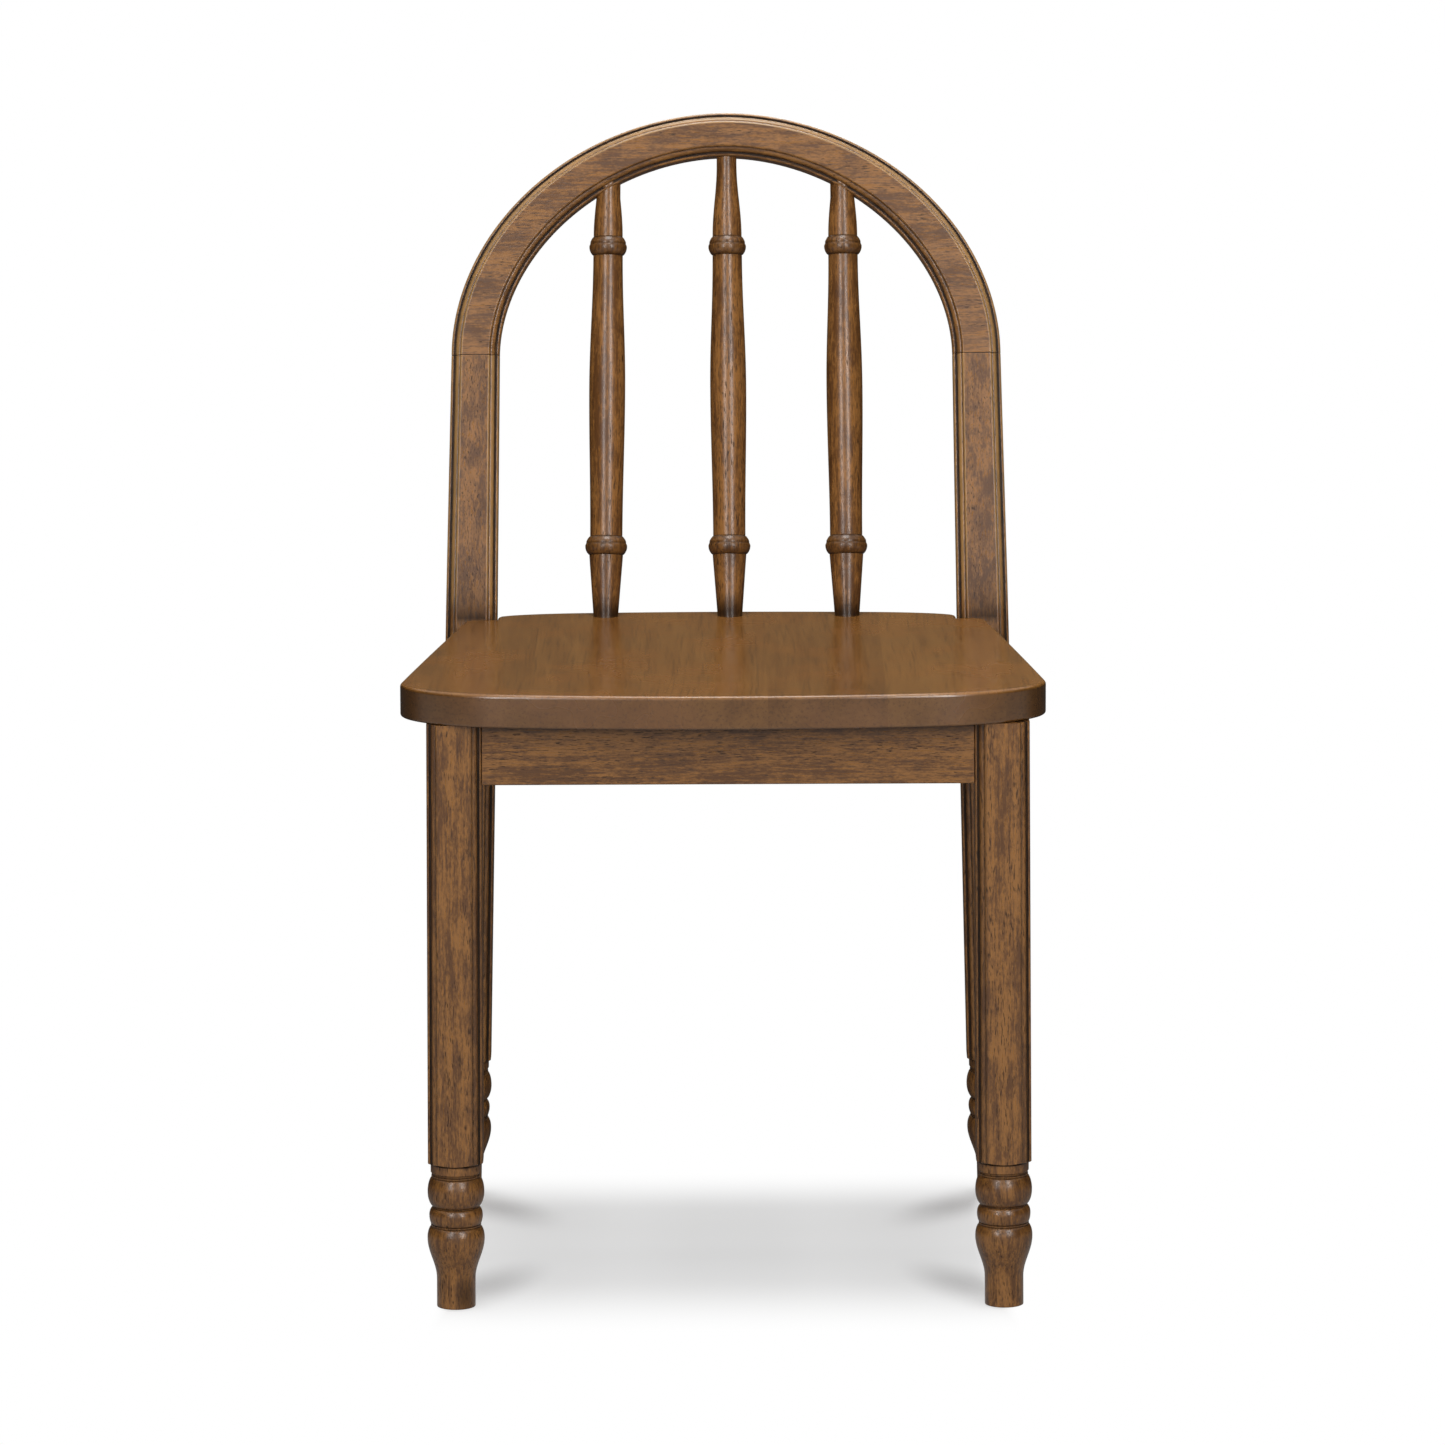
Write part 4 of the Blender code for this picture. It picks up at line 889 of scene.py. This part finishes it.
class CHAIR_OT_seat(bpy.types.Operator):
    """Make the solid seat with its bowed edges"""

    bl_idname = "chair.seat"
    bl_label = "Seat"

    def execute(self, context):
        seat, legs = context.scene.chair_seat, context.scene.chair_legs
        under = seat.top - seat.thickness
        bm = new_bmesh()
        outline = bm.faces.new([new_vert(bm, (p.x, p.y, under)) for p in seat_outline(seat, legs)])
        grown = bmesh.ops.extrude_face_region(bm, geom=[outline])["geom"]
        raised = [part for part in grown if isinstance(part, bmesh.types.BMVert)]
        bmesh.ops.translate(bm, verts=raised, vec=(0, 0, seat.thickness))
        middle = under + seat.thickness / 2
        for way, ease, steps in ((1, seat.top_ease, 6), (-1, seat.under_ease, 4)):
            rim = [edge for edge in bm.edges
                   if all((vert.co.z - middle) * way > 0 for vert in edge.verts)]
            rounded(bm, rim, ease, steps)
        layer = bm.verts.layers.float["glaze_and_painted_light"]
        bm.normal_update()
        for vert in bm.verts:
            # Painted highlight on the top arris (below 0); down the sides stain with painted shade,
            # deepest where the edge faces sideways at the corners and lighter on the back edge
            drop = min((seat.top - vert.co.z) / seat.top_ease, 1)
            sides = 0.5 * vert.normal.x ** 2 - 0.35 * max(vert.normal.y, 0)
            vert[layer] = drop * (0.8 + sides) if drop > 0.5 else -2 * drop
        bmesh.ops.transform(bm, matrix=in_frame(), verts=bm.verts[:])
        low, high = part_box("seat_panel")
        widths = [vert.co.x for vert in bm.verts]
        for vert in bm.verts:  # as wide as the CAD seat on each side
            vert.co.x *= low.x / min(widths) if vert.co.x < 0 else high.x / max(widths)
        grain = Matrix.Translation((0.055, 0.02, 0)) @ Matrix.Rotation(math.pi / 2, 4, "X")
        add_piece(bm, "seat_finished", ["seat_panel"], "stained_seat_boards", grain)
        return {"FINISHED"}


# Rails


def rail_places():
    """For each rail, a function from (share along, distance across, height) to its place."""
    scene = bpy.context.scene
    legs, rails = scene.chair_legs, scene.chair_rails
    half = rails.thickness / 2
    rear_depth = back_face_depth(legs, frame_top(), 1) - rails.setback - half
    side_front = legs.spread + legs.width / 2 - rails.setback - half
    side_rear = legs.spread - rails.rear_inset - half
    run = back_face_depth(legs, frame_top(), -1) - legs.width

    def front(share, across, height):
        inner = front_spread(legs, height) - legs.width / 2 - GAP
        return Vector((share * inner, rails.setback + half + across, height))

    def rear(share, across, height):
        inner = back_inner_face(legs, height) - GAP
        return Vector((share * inner, rear_depth + across, height))

    def beside(side):
        def place(share, across, height):
            start = legs.width + GAP
            end = back_face_depth(legs, height, -1) - GAP
            depth = (start + end) / 2 + share * (end - start) / 2
            spread = side_front + (side_rear - side_front) * (depth - legs.width) / run
            return Vector((side * spread + across, depth, height))
        return place

    return {"front_rail": (front, (1, 0, 0)), "rear_rail": (rear, (1, 0, 0)),
            "side_rail_left": (beside(-1), (0, 1, 0)), "side_rail_right": (beside(1), (0, 1, 0))}


class CHAIR_OT_rails(bpy.types.Operator):
    """Make the four rails under the seat"""

    bl_idname = "chair.rails"
    bl_label = "Rails"

    def execute(self, context):
        rails = context.scene.chair_rails
        bottom, shaded = frame_top() - rails.height, frame_top() - 9 * MM
        for seed, (name, (place, direction)) in enumerate(rail_places().items()):
            bm = new_bmesh()
            bmesh.ops.create_cube(bm, size=1)
            for vert in bm.verts:
                vert.co.x *= 2
                vert.co.y *= rails.thickness
                vert.co.z = bottom + (vert.co.z + 0.5) * rails.height
            long_edges = [edge for edge in bm.edges if edge.calc_length() > 1]
            rounded(bm, long_edges, rails.arris, 3)
            bmesh.ops.bisect_plane(bm, geom=bm.verts[:] + bm.edges[:] + bm.faces[:],
                                   plane_co=(0, 0, shaded), plane_no=(0, 0, 1))
            layer = bm.verts.layers.float["glaze_and_painted_light"]
            for vert in bm.verts:  # painted shade under the seat
                vert[layer] = 0.65 if vert.co.z > shaded + 4 * MM else 0.12
                vert.co = in_frame() @ place(*vert.co)
            add_frame_piece(bm, name, along_grain(direction, 23 + seed, (0.02, 0.03, 0)))
        return {"FINISHED"}


# Finishes


SMOOTH = {"interpolation_type": "SMOOTHSTEP"}


def connect(tree, node, inputs):
    """Set a node's inputs, by name or in order, to values, sockets or the first output of nodes."""
    for name, value in inputs.items() if isinstance(inputs, dict) else enumerate(inputs):
        if isinstance(value, bpy.types.Node):
            value = value.outputs[0]
        if isinstance(value, bpy.types.NodeSocket):
            tree.links.new(value, node.inputs[name])
        else:
            node.inputs[name].default_value = value


def add_node(tree, kind, inputs=(), **settings):
    """Add a node with its settings and its inputs."""
    node = tree.nodes.new("ShaderNode" + kind)
    for name, value in settings.items():
        setattr(node, name, value)
    connect(tree, node, inputs)
    return node


def new_material(name):
    material = bpy.data.materials.new(name)
    material.use_nodes = True
    return material.node_tree, material.node_tree.nodes["Principled BSDF"]


def swayed(tree, place, scale, reach):
    """Places pushed across the grain by slow noise, so that no line of it runs dead straight."""
    noise = add_node(tree, "TexNoise", {"Vector": place, "Scale": scale, "Detail": 2.0})
    centred = add_node(tree, "VectorMath", (noise.outputs["Color"], (0.5, 0.5, 0.5)),
                       operation="SUBTRACT")
    return add_node(tree, "VectorMath", (centred, (reach, reach, 0), place),
                    operation="MULTIPLY_ADD")


def wood_grain(tree, place, across, along, **noise):
    """Noise drawn out along the grain; across and along are its sizes in metres.

    Real pores are about 0.3 mm across, too fine to show in the render, so the materials draw
    them coarser, and the lines of the grain too.
    """
    scale = 1 / across, 1 / across, 1 / along
    scaled = add_node(tree, "Mapping", {"Vector": place, "Scale": scale})
    settings = {"Scale": 1.0, "Detail": 4.0, "Roughness": 0.55, **noise}
    return add_node(tree, "TexNoise", {"Vector": scaled, **settings})


def summed(tree, *patterns):
    """The sum of (pattern, share) pairs."""
    total = 0.0
    for pattern, share in patterns:
        total = add_node(tree, "Math", (pattern, share, total), operation="MULTIPLY_ADD")
    return total


def stained(tree, first, *layers):
    """A first colour with (share, colour) layers over it."""
    stain = (*first, 1)
    for share, colour in layers:
        stain = add_node(tree, "Mix", {0: share, 6: stain, 7: (*colour, 1)},
                         data_type="RGBA").outputs[2]
    return stain


def make_stained_rubberwood(finishes):
    """Rubberwood, planed and turned, under a brown wiping stain and satin lacquer.

    The stain darkens the open pores and the grooves of the mouldings, and leaves long soft streaks
    on the faces. Painted shade deepens the recesses, the tops of the turned beads and the rails
    under the seat, and a paler painted highlight runs along the edges. The lacquer is thin, so the
    pores still break the gloss.
    """
    tree, shader = new_material("stained_rubberwood")
    add = functools.partial(add_node, tree)
    grain = add("Attribute", attribute_name="grain").outputs["Vector"]
    glaze_and_painted_light = add("Attribute", attribute_name="glaze_and_painted_light").outputs["Fac"]
    wavy = swayed(tree, grain, 9.0, 7 * MM)
    streaks = wood_grain(tree, wavy, 1.6 * MM, 24 * MM, Roughness=0.65)
    rings = wood_grain(tree, wavy, 4 * MM, 110 * MM, Detail=3.0)
    bands = wood_grain(tree, wavy, 15 * MM, 170 * MM, Detail=3.0)
    clouds = wood_grain(tree, grain, 14 * MM, 26 * MM, Detail=3.0)
    flecks = wood_grain(tree, grain, 1.5 * MM, 4 * MM, Detail=2.0, Roughness=0.7)
    pores = wood_grain(tree, wavy, 0.9 * MM, 7 * MM, Detail=1.0, Roughness=0.5)
    tone = summed(tree, (streaks, 0.28), (rings, 0.16), (bands, 0.16), (clouds, 0.2), (flecks, 0.2))
    tone = add("MapRange", (tone, 0.435, 0.565), **SMOOTH)
    pores = add("MapRange", (pores, 0.59, 0.67), **SMOOTH)
    crowded = add("MapRange", (bands, 0.4, 0.6, 0.2, 0.75), **SMOOTH)
    open_pores = add("Math", (pores, crowded), operation="MULTIPLY")
    # Painted highlight where the value is below 0, along the edges of the mouldings
    painted_highlight = add("MapRange", (glaze_and_painted_light, -0.05, -0.9, 0.0, 0.5), **SMOOTH)
    cover = add("MapRange", (clouds, 0.3, 0.7, 0.75, 0.98), **SMOOTH)
    # Glaze in the grooves and pores, with painted shade where the value is above 0
    gathered_and_painted_shade = add("Math", (glaze_and_painted_light, cover), operation="MULTIPLY")
    stain = stained(tree, finishes.frame_dark, (tone, finishes.frame_light),
                    (open_pores, finishes.glaze_and_painted_light), (painted_highlight, finishes.frame_painted_highlight),
                    (gathered_and_painted_shade, finishes.glaze_and_painted_light))
    filled = add("Math", (gathered_and_painted_shade, open_pores), operation="MAXIMUM")
    gloss = add("MapRange", (filled, 0.1, 0.9, 0.5, 0.25), **SMOOTH)
    lacquer = add("MapRange", (streaks, 0.35, 0.65, 0.33, 0.27), **SMOOTH)
    rough = add("Math", (open_pores, 0.3, lacquer), operation="MULTIPLY_ADD")
    relief = summed(tree, (streaks, 0.3), (open_pores, -1.0))
    bump = add("Bump", {"Strength": 0.2, "Distance": 0.06 * MM, "Height": relief})
    connect(tree, shader, {"Base Color": stain, "Roughness": rough, "IOR": 1.5,
                           "Specular IOR Level": gloss, "Normal": bump})


def make_seat_boards(finishes, board):
    """Rubberwood boards glued side by side, sanded smooth, stained and lacquered.

    Each board takes the stain a little differently, and shows the arches of flat-sawn grain.
    The lacquer is thicker than on the frame, so the top mirrors the spindles softly. The sides take
    a darker stain with painted shade over it, and the top arris a faint painted highlight.
    """
    tree, shader = new_material("stained_seat_boards")
    add = functools.partial(add_node, tree)
    grain = add("Attribute", attribute_name="grain").outputs["Vector"]
    edge = add("Attribute", attribute_name="glaze_and_painted_light").outputs["Fac"]
    lane = add("Math", (add("SeparateXYZ", (grain,)), board), operation="DIVIDE")
    lane = add("Math", (lane,), operation="FLOOR")
    chance = add("TexWhiteNoise", {"W": lane}, noise_dimensions="1D").outputs
    own = add("VectorMath", (chance["Color"], (0.4, 0.05, 2.0), grain), operation="MULTIPLY_ADD")
    wavy = swayed(tree, own, 5.0, 12 * MM)
    streaks = wood_grain(tree, wavy, 3.5 * MM, 120 * MM)
    bands = wood_grain(tree, wavy, 18 * MM, 200 * MM, Detail=3.0)
    patches = wood_grain(tree, grain, 60 * MM, 60 * MM, Detail=2.0)
    pores = wood_grain(tree, wavy, 1.8 * MM, 90 * MM, Detail=1.0)
    tone = summed(tree, (streaks, 0.3), (bands, 0.4), (chance["Value"], 0.12))
    tone = add("MapRange", (tone, 0.26, 0.56), **SMOOTH)
    warmth = add("MapRange", (patches, 0.4, 0.65, 0.0, 0.35), **SMOOTH)
    pores = add("MapRange", (pores, 0.54, 0.7, 0.0, 0.3), **SMOOTH)
    # Darker sides: stain with painted shade; below 0 a faint painted highlight on the top arris
    rim = add("MapRange", (edge, 0.0, 1.5, 0.0, 0.85), **SMOOTH)
    painted_highlight = add("MapRange", (edge, -0.1, -0.7, 0.0, 0.15), **SMOOTH)
    stain = stained(tree, finishes.seat_dark, (tone, finishes.seat_light),
                    (warmth, finishes.seat_warm), (pores, finishes.glaze_and_painted_light),
                    (rim, finishes.seat_edge_stain_and_shade), (painted_highlight, finishes.frame_painted_highlight))
    gloss = add("MapRange", (edge, 0.2, 0.8, 0.5, 0.75), **SMOOTH)
    rough = add("MapRange", (patches, 0.3, 0.7, 0.22, 0.28), **SMOOTH)
    bump = add("Bump", {"Strength": 0.1, "Distance": 0.02 * MM, "Height": streaks})
    connect(tree, shader, {"Base Color": stain, "Roughness": rough, "IOR": 1.5,
                           "Specular IOR Level": gloss, "Normal": bump})


def make_bare_wood(finishes):
    """Sawn and sanded rubberwood without a finish: pale, dry and dull, with brown pores."""
    tree, shader = new_material("bare_rubberwood")
    add = functools.partial(add_node, tree)
    place = add("TexCoord").outputs["Object"]
    turned = add("Mapping", {"Vector": place, "Rotation": (0, math.pi / 2, 0)})
    streaks = wood_grain(tree, turned, 2.5 * MM, 50 * MM)
    pores = wood_grain(tree, turned, 0.8 * MM, 8 * MM)
    pores = add("MapRange", (pores, 0.6, 0.75, 0.0, 0.6), **SMOOTH)
    tone = add("MapRange", (streaks, 0.35, 0.65), **SMOOTH)
    stain = stained(tree, linear("A98257"), (tone, finishes.bare_wood), (pores, linear("6E4A2A")))
    bump = add("Bump", {"Strength": 0.3, "Distance": 0.2 * MM, "Height": streaks})
    connect(tree, shader, {"Base Color": stain, "Roughness": 0.7, "Normal": bump})


def make_zinc(finishes):
    """Zinc-plated steel: a soft grey metal with a fine crystal mottle, drawn coarser to show."""
    tree, shader = new_material("zinc_plated_steel")
    place = add_node(tree, "TexCoord").outputs["Object"]
    mottle = add_node(tree, "TexNoise", {"Vector": place, "Scale": 1 / (1.5 * MM)})
    rough = add_node(tree, "MapRange", (mottle, 0.3, 0.7, 0.3, 0.46), **SMOOTH)
    tone = stained(tree, finishes.zinc, (mottle, linear("8F8D84")))
    connect(tree, shader, {"Base Color": tone, "Metallic": 1.0, "Roughness": rough})


def make_nylon(finishes):
    """Moulded brown nylon: a waxy half gloss, its fine floor scuffs drawn coarser to show."""
    tree, shader = new_material("moulded_nylon")
    place = add_node(tree, "TexCoord").outputs["Object"]
    scuffs = add_node(tree, "TexNoise", {"Vector": place, "Scale": 1 / (0.8 * MM), "Detail": 4.0})
    rough = add_node(tree, "MapRange", (scuffs, 0.3, 0.7, 0.42, 0.62), **SMOOTH)
    pale = add_node(tree, "MapRange", (scuffs, 0.5, 0.7), **SMOOTH)
    tone = stained(tree, finishes.nylon, (pale, linear("5E4C3A")))
    connect(tree, shader, {"Base Color": tone, "Roughness": rough, "IOR": 1.53})


class CHAIR_OT_finishes(bpy.types.Operator):
    """Mix the stains, lacquers and platings"""

    bl_idname = "chair.finishes"
    bl_label = "Finishes"

    def execute(self, context):
        finishes = context.scene.chair_finishes
        make_stained_rubberwood(finishes)
        make_seat_boards(finishes, context.scene.chair_seat.board)
        make_bare_wood(finishes)
        make_zinc(finishes)
        make_nylon(finishes)
        return {"FINISHED"}


HARDWARE = {"corner_block": "bare_rubberwood", "arch_dowel": "bare_rubberwood",
            "block_screw": "zinc_plated_steel", "seat_screw": "zinc_plated_steel",
            "foot_glide": "moulded_nylon"}


class CHAIR_OT_hardware(bpy.types.Operator):
    """Dress the blocks, dowels, screws and glides"""

    bl_idname = "chair.hardware"
    bl_label = "Blocks and Hardware"

    def execute(self, context):
        for name, node in frame["nodes"].items():
            for kind, material in HARDWARE.items():
                if name.startswith(kind):
                    node.data.materials.clear()
                    node.data.materials.append(bpy.data.materials[material])
        return {"FINISHED"}


# Studio


# Each lamp's place, what it faces, its width and height, its setting, and its share of that
LAMPS = {
    "overhead": ((0, -0.1, 2.7), (0, 0, 0), (0.9, 0.9), "overhead", 1.0),
    "above_floor": ((0, 0, 2.4), (0, 0, 0), (2.2, 2.2), "floor_light", 1.0),
    "behind": ((0, 2.2, 2.5), (0, 0.2, 0.6), (1.8, 1.0), "behind", 1.0),
    "fill": ((0, -4.6, 1.25), (0, 0, 0.5), (2.0, 1.2), "fill", 1.0),
    "tall_left": ((-0.93549, -2.10115, 1.6), (0, 0, 1.0), (0.42, 2.2), "front", 0.86),
    "tall_right": ((0.93549, -2.10115, 1.6), (0, 0, 1.0), (0.42, 2.2), "front", 1.0)}

# The chair's shadow on the floor, in metres from its middle
SHADOW_FRONT = (-0.11, -0.29)       # where it starts to fade and where it ends
SHADOW_REAR = (0.11, 0.25)
SHADOW_SIDE = (0.19, 0.22)
FOOT_SHADOWS = (((0.19, -0.152, 0), 24), ((0.19, 0.142, 0), 150))   # places and turns, by a foot
FOOT_SHADOW_SIZE = (0.045, 0.12, 1)

FLOOR_RADIUS = 6
WALL_RADIUS, WALL_HEIGHT = 3.6, 3.2

CAMERA_PLACE = (-0.0005, -5.638, 1.3486)
CAMERA_LENS = 185.5
CAMERA_DIP, CAMERA_ROLL = 9.45, -0.24           # degrees


def add_lamp(name, place, target, size, watts):
    data = bpy.data.lights.new(name, "AREA")
    data.shape = "RECTANGLE"
    data.size, data.size_y = size
    data.energy = watts
    lamp = bpy.data.objects.new(name, data)
    lamp.location = place
    lamp.rotation_euler = (Vector(target) - Vector(place)).to_track_quat("-Z", "Y").to_euler()
    bpy.context.scene.collection.objects.link(lamp)


def share_lamps():
    """Each lamp has its share: one lights the floor, one the frame from behind, the rest the chair.

    So the legs throw no long shadows, and the lamp behind leaves the seat as it is.
    """
    lit = {word: bpy.data.collections.new("lit_" + word) for word in ("floor", "frame", "chair")}
    for piece in bpy.context.scene.objects:
        if piece.type == "MESH":
            on_stage = piece.name in ("floor", "studio_walls")
            lit["floor" if on_stage else "chair"].objects.link(piece)
            if not on_stage and piece.name != "seat_finished":
                lit["frame"].objects.link(piece)
    shares = {"above_floor": "floor", "behind": "frame"}
    for name in LAMPS:
        lamp = bpy.data.objects[name]
        lamp.light_linking.receiver_collection = lit[shares.get(name, "chair")]


def new_glow(name):
    """A material with no shader yet, and the function that adds its nodes."""
    tree, shader = new_material(name)
    tree.nodes.remove(shader)
    return tree, functools.partial(add_node, tree)


def new_stage_piece(bm, name, material):
    mesh = bpy.data.meshes.new(name)
    bm.to_mesh(mesh)
    bm.free()
    mesh.materials.append(bpy.data.materials[material])
    piece = bpy.data.objects.new(name, mesh)
    bpy.context.scene.collection.objects.link(piece)
    return piece


def add_floor(studio):
    """A wide pale floor that keeps the chair's soft shadow and fades to white."""
    bm = bmesh.new()
    bmesh.ops.create_circle(bm, cap_ends=True, radius=FLOOR_RADIUS, segments=96)
    tree, add = new_glow("pale_floor")
    place = add("TexCoord").outputs["Object"]
    across, depth = add("SeparateXYZ", (place,)).outputs[:2]
    aside = add("Math", (across,), operation="ABSOLUTE")
    shade = add("MapRange", (depth, -0.02, 0.12, studio.shade, studio.shade * 1.3), **SMOOTH)
    outwards = add("MapRange", (aside, 0.06, 0.17, 1.0, 1.3), **SMOOTH)
    shade = add("Math", (shade, outwards), operation="MULTIPLY")
    half = add("CombineXYZ", (aside, depth))
    for spot, turn in FOOT_SHADOWS:
        near_foot = add("Mapping", (half, spot, (0, 0, math.radians(turn)), FOOT_SHADOW_SIZE),
                        vector_type="TEXTURE")
        apart = add("VectorMath", (near_foot,), operation="LENGTH").outputs["Value"]
        deeper = add("MapRange", (apart, 0.0, 1.0, studio.foot_shade, 0.0), **SMOOTH)
        shade = add("Math", (shade, deeper), operation="ADD")
    far = add("MapRange", (depth, *SHADOW_REAR), **SMOOTH)
    for way, fade in ((depth, SHADOW_FRONT), (aside, SHADOW_SIDE)):
        far = add("Math", (far, add("MapRange", (way, *fade), **SMOOTH)), operation="MAXIMUM")
    near = add("Math", (1.0, far), operation="SUBTRACT")
    dark = add("Math", (shade, near), operation="MULTIPLY")
    pale = add("Math", (1.0, dark), operation="SUBTRACT")
    seen = add("BsdfDiffuse", {"Color": (1, 1, 1, 1)})
    white = add("Emission", {"Color": (1, 1, 1, 1), "Strength": 1.0})
    fading = add("MixShader", (pale, seen, white))
    rays = add("LightPath").outputs
    sheen = add("MapRange", (depth, -0.5, 0.4, studio.sheen, 0.06), **SMOOTH)
    mirrored = add("Math", (rays["Is Glossy Ray"], sheen), operation="MULTIPLY")
    glow = add("Math", (rays["Is Diffuse Ray"], studio.bounce, mirrored), operation="MULTIPLY_ADD")
    lit = add("Emission", {"Color": (*studio.floor, 1), "Strength": glow})
    clear = add("Math", (rays["Is Camera Ray"], rays["Is Transmission Ray"]), operation="MAXIMUM")
    either = add("MixShader", (clear, lit, fading))
    connect(tree, tree.nodes["Material Output"], {"Surface": either})
    floor = new_stage_piece(bm, "floor", "pale_floor")


def add_walls(studio):
    """Dim walls round the chair. They only show in reflections, and keep its edges dark."""
    bm = bmesh.new()
    bmesh.ops.create_cone(bm, cap_ends=False, segments=64, radius1=WALL_RADIUS,
                          radius2=WALL_RADIUS, depth=WALL_HEIGHT)
    bmesh.ops.translate(bm, verts=bm.verts[:], vec=(0, 0, WALL_HEIGHT / 2))
    tree, add = new_glow("dim_walls")
    place = add("TexCoord").outputs["Object"]
    depth = add("SeparateXYZ", (place,)).outputs[1]
    light = add("MapRange", (depth, 2.9, 3.5, 0.12, 0.7), **SMOOTH)
    glow = add("Emission", {"Color": (*studio.walls, 1), "Strength": light})
    connect(tree, tree.nodes["Material Output"], {"Surface": glow})
    walls = new_stage_piece(bm, "studio_walls", "dim_walls")
    walls.visible_camera = walls.visible_diffuse = walls.visible_shadow = False
    walls.visible_transmission = False


def light_world(studio):
    """Even light from all round, and plain white where the camera sees past the chair."""
    world = bpy.data.worlds.new("studio")
    bpy.context.scene.world = world
    world.use_nodes = True
    tree = world.node_tree
    even = tree.nodes["Background"]
    connect(tree, even, {"Color": (1, 1, 1, 1), "Strength": studio.world})
    white = add_node(tree, "Background", {"Color": (1, 1, 1, 1), "Strength": 1.0})
    rays = add_node(tree, "LightPath").outputs
    clear = rays["Is Camera Ray"]
    for ray in ("Is Transmission Ray", "Is Glossy Ray"):
        clear = add_node(tree, "Math", (clear, rays[ray]), operation="MAXIMUM")
    either = add_node(tree, "MixShader", (clear, even, white))
    connect(tree, tree.nodes["World Output"], {"Surface": either})


def add_camera():
    data = bpy.data.cameras.new("camera")
    data.sensor_width = 36
    data.lens = CAMERA_LENS
    data.clip_start, data.clip_end = 0.1, 50
    camera = bpy.data.objects.new("camera", data)
    pitch = Matrix.Rotation(math.radians(90 - CAMERA_DIP), 4, "X")
    roll = Matrix.Rotation(math.radians(CAMERA_ROLL), 4, "Z")
    camera.matrix_world = Matrix.Translation(CAMERA_PLACE) @ pitch @ roll
    bpy.context.scene.collection.objects.link(camera)
    bpy.context.scene.camera = camera


class CHAIR_OT_studio(bpy.types.Operator):
    """Set up the floor, the lamps and the camera"""

    bl_idname = "chair.studio"
    bl_label = "Studio"

    def execute(self, context):
        studio = context.scene.chair_studio
        context.scene.view_settings.view_transform = "Standard"
        add_floor(studio)
        add_walls(studio)
        light_world(studio)
        for name, (place, target, size, setting, share) in LAMPS.items():
            add_lamp(name, place, target, size, getattr(studio, setting) * share)
        share_lamps()
        add_camera()
        return {"FINISHED"}


class CHAIR_PT_panel(bpy.types.Panel):
    """Lists the steps that make the chair, and their sizes and colours"""

    bl_idname = "CHAIR_PT_panel"
    bl_label = "Spindle Back Chair"
    bl_space_type = "VIEW_3D"
    bl_region_type = "UI"
    bl_category = "Chair"

    def draw(self, context):
        for step in STEPS:
            self.layout.operator(step.bl_idname)
        for name in GROUPS:
            group = getattr(context.scene, name)
            box = self.layout.box()
            for value in group.__annotations__:
                box.prop(group, value)


GROUPS = {"chair_seat": SeatSizes, "chair_moulding": MouldingSizes, "chair_legs": LegSizes,
          "chair_foot": FootSizes, "chair_arch": ArchSizes, "chair_spindles": SpindleSizes,
          "chair_rails": RailSizes, "chair_finishes": Finishes, "chair_studio": StudioSettings}
STEPS = (CHAIR_OT_finishes, CHAIR_OT_seat, CHAIR_OT_front_legs, CHAIR_OT_back_legs,
         CHAIR_OT_arch, CHAIR_OT_spindles, CHAIR_OT_rails, CHAIR_OT_hardware, CHAIR_OT_studio)


def register():
    for group in GROUPS.values():
        bpy.utils.register_class(group)
    for name, group in GROUPS.items():
        setattr(bpy.types.Scene, name, bpy.props.PointerProperty(type=group))
    for step in (*STEPS, CHAIR_PT_panel):
        bpy.utils.register_class(step)


def unregister():
    for step in (*STEPS, CHAIR_PT_panel):
        bpy.utils.unregister_class(step)
    for name, group in GROUPS.items():
        delattr(bpy.types.Scene, name)
        bpy.utils.unregister_class(group)


def main():
    register()
    bpy.ops.chair.finishes()
    bpy.ops.chair.seat()
    bpy.ops.chair.front_legs()
    bpy.ops.chair.back_legs()
    bpy.ops.chair.arch()
    bpy.ops.chair.spindles()
    bpy.ops.chair.rails()
    bpy.ops.chair.hardware()
    bpy.ops.chair.studio()


if __name__ == "__main__":
    main()
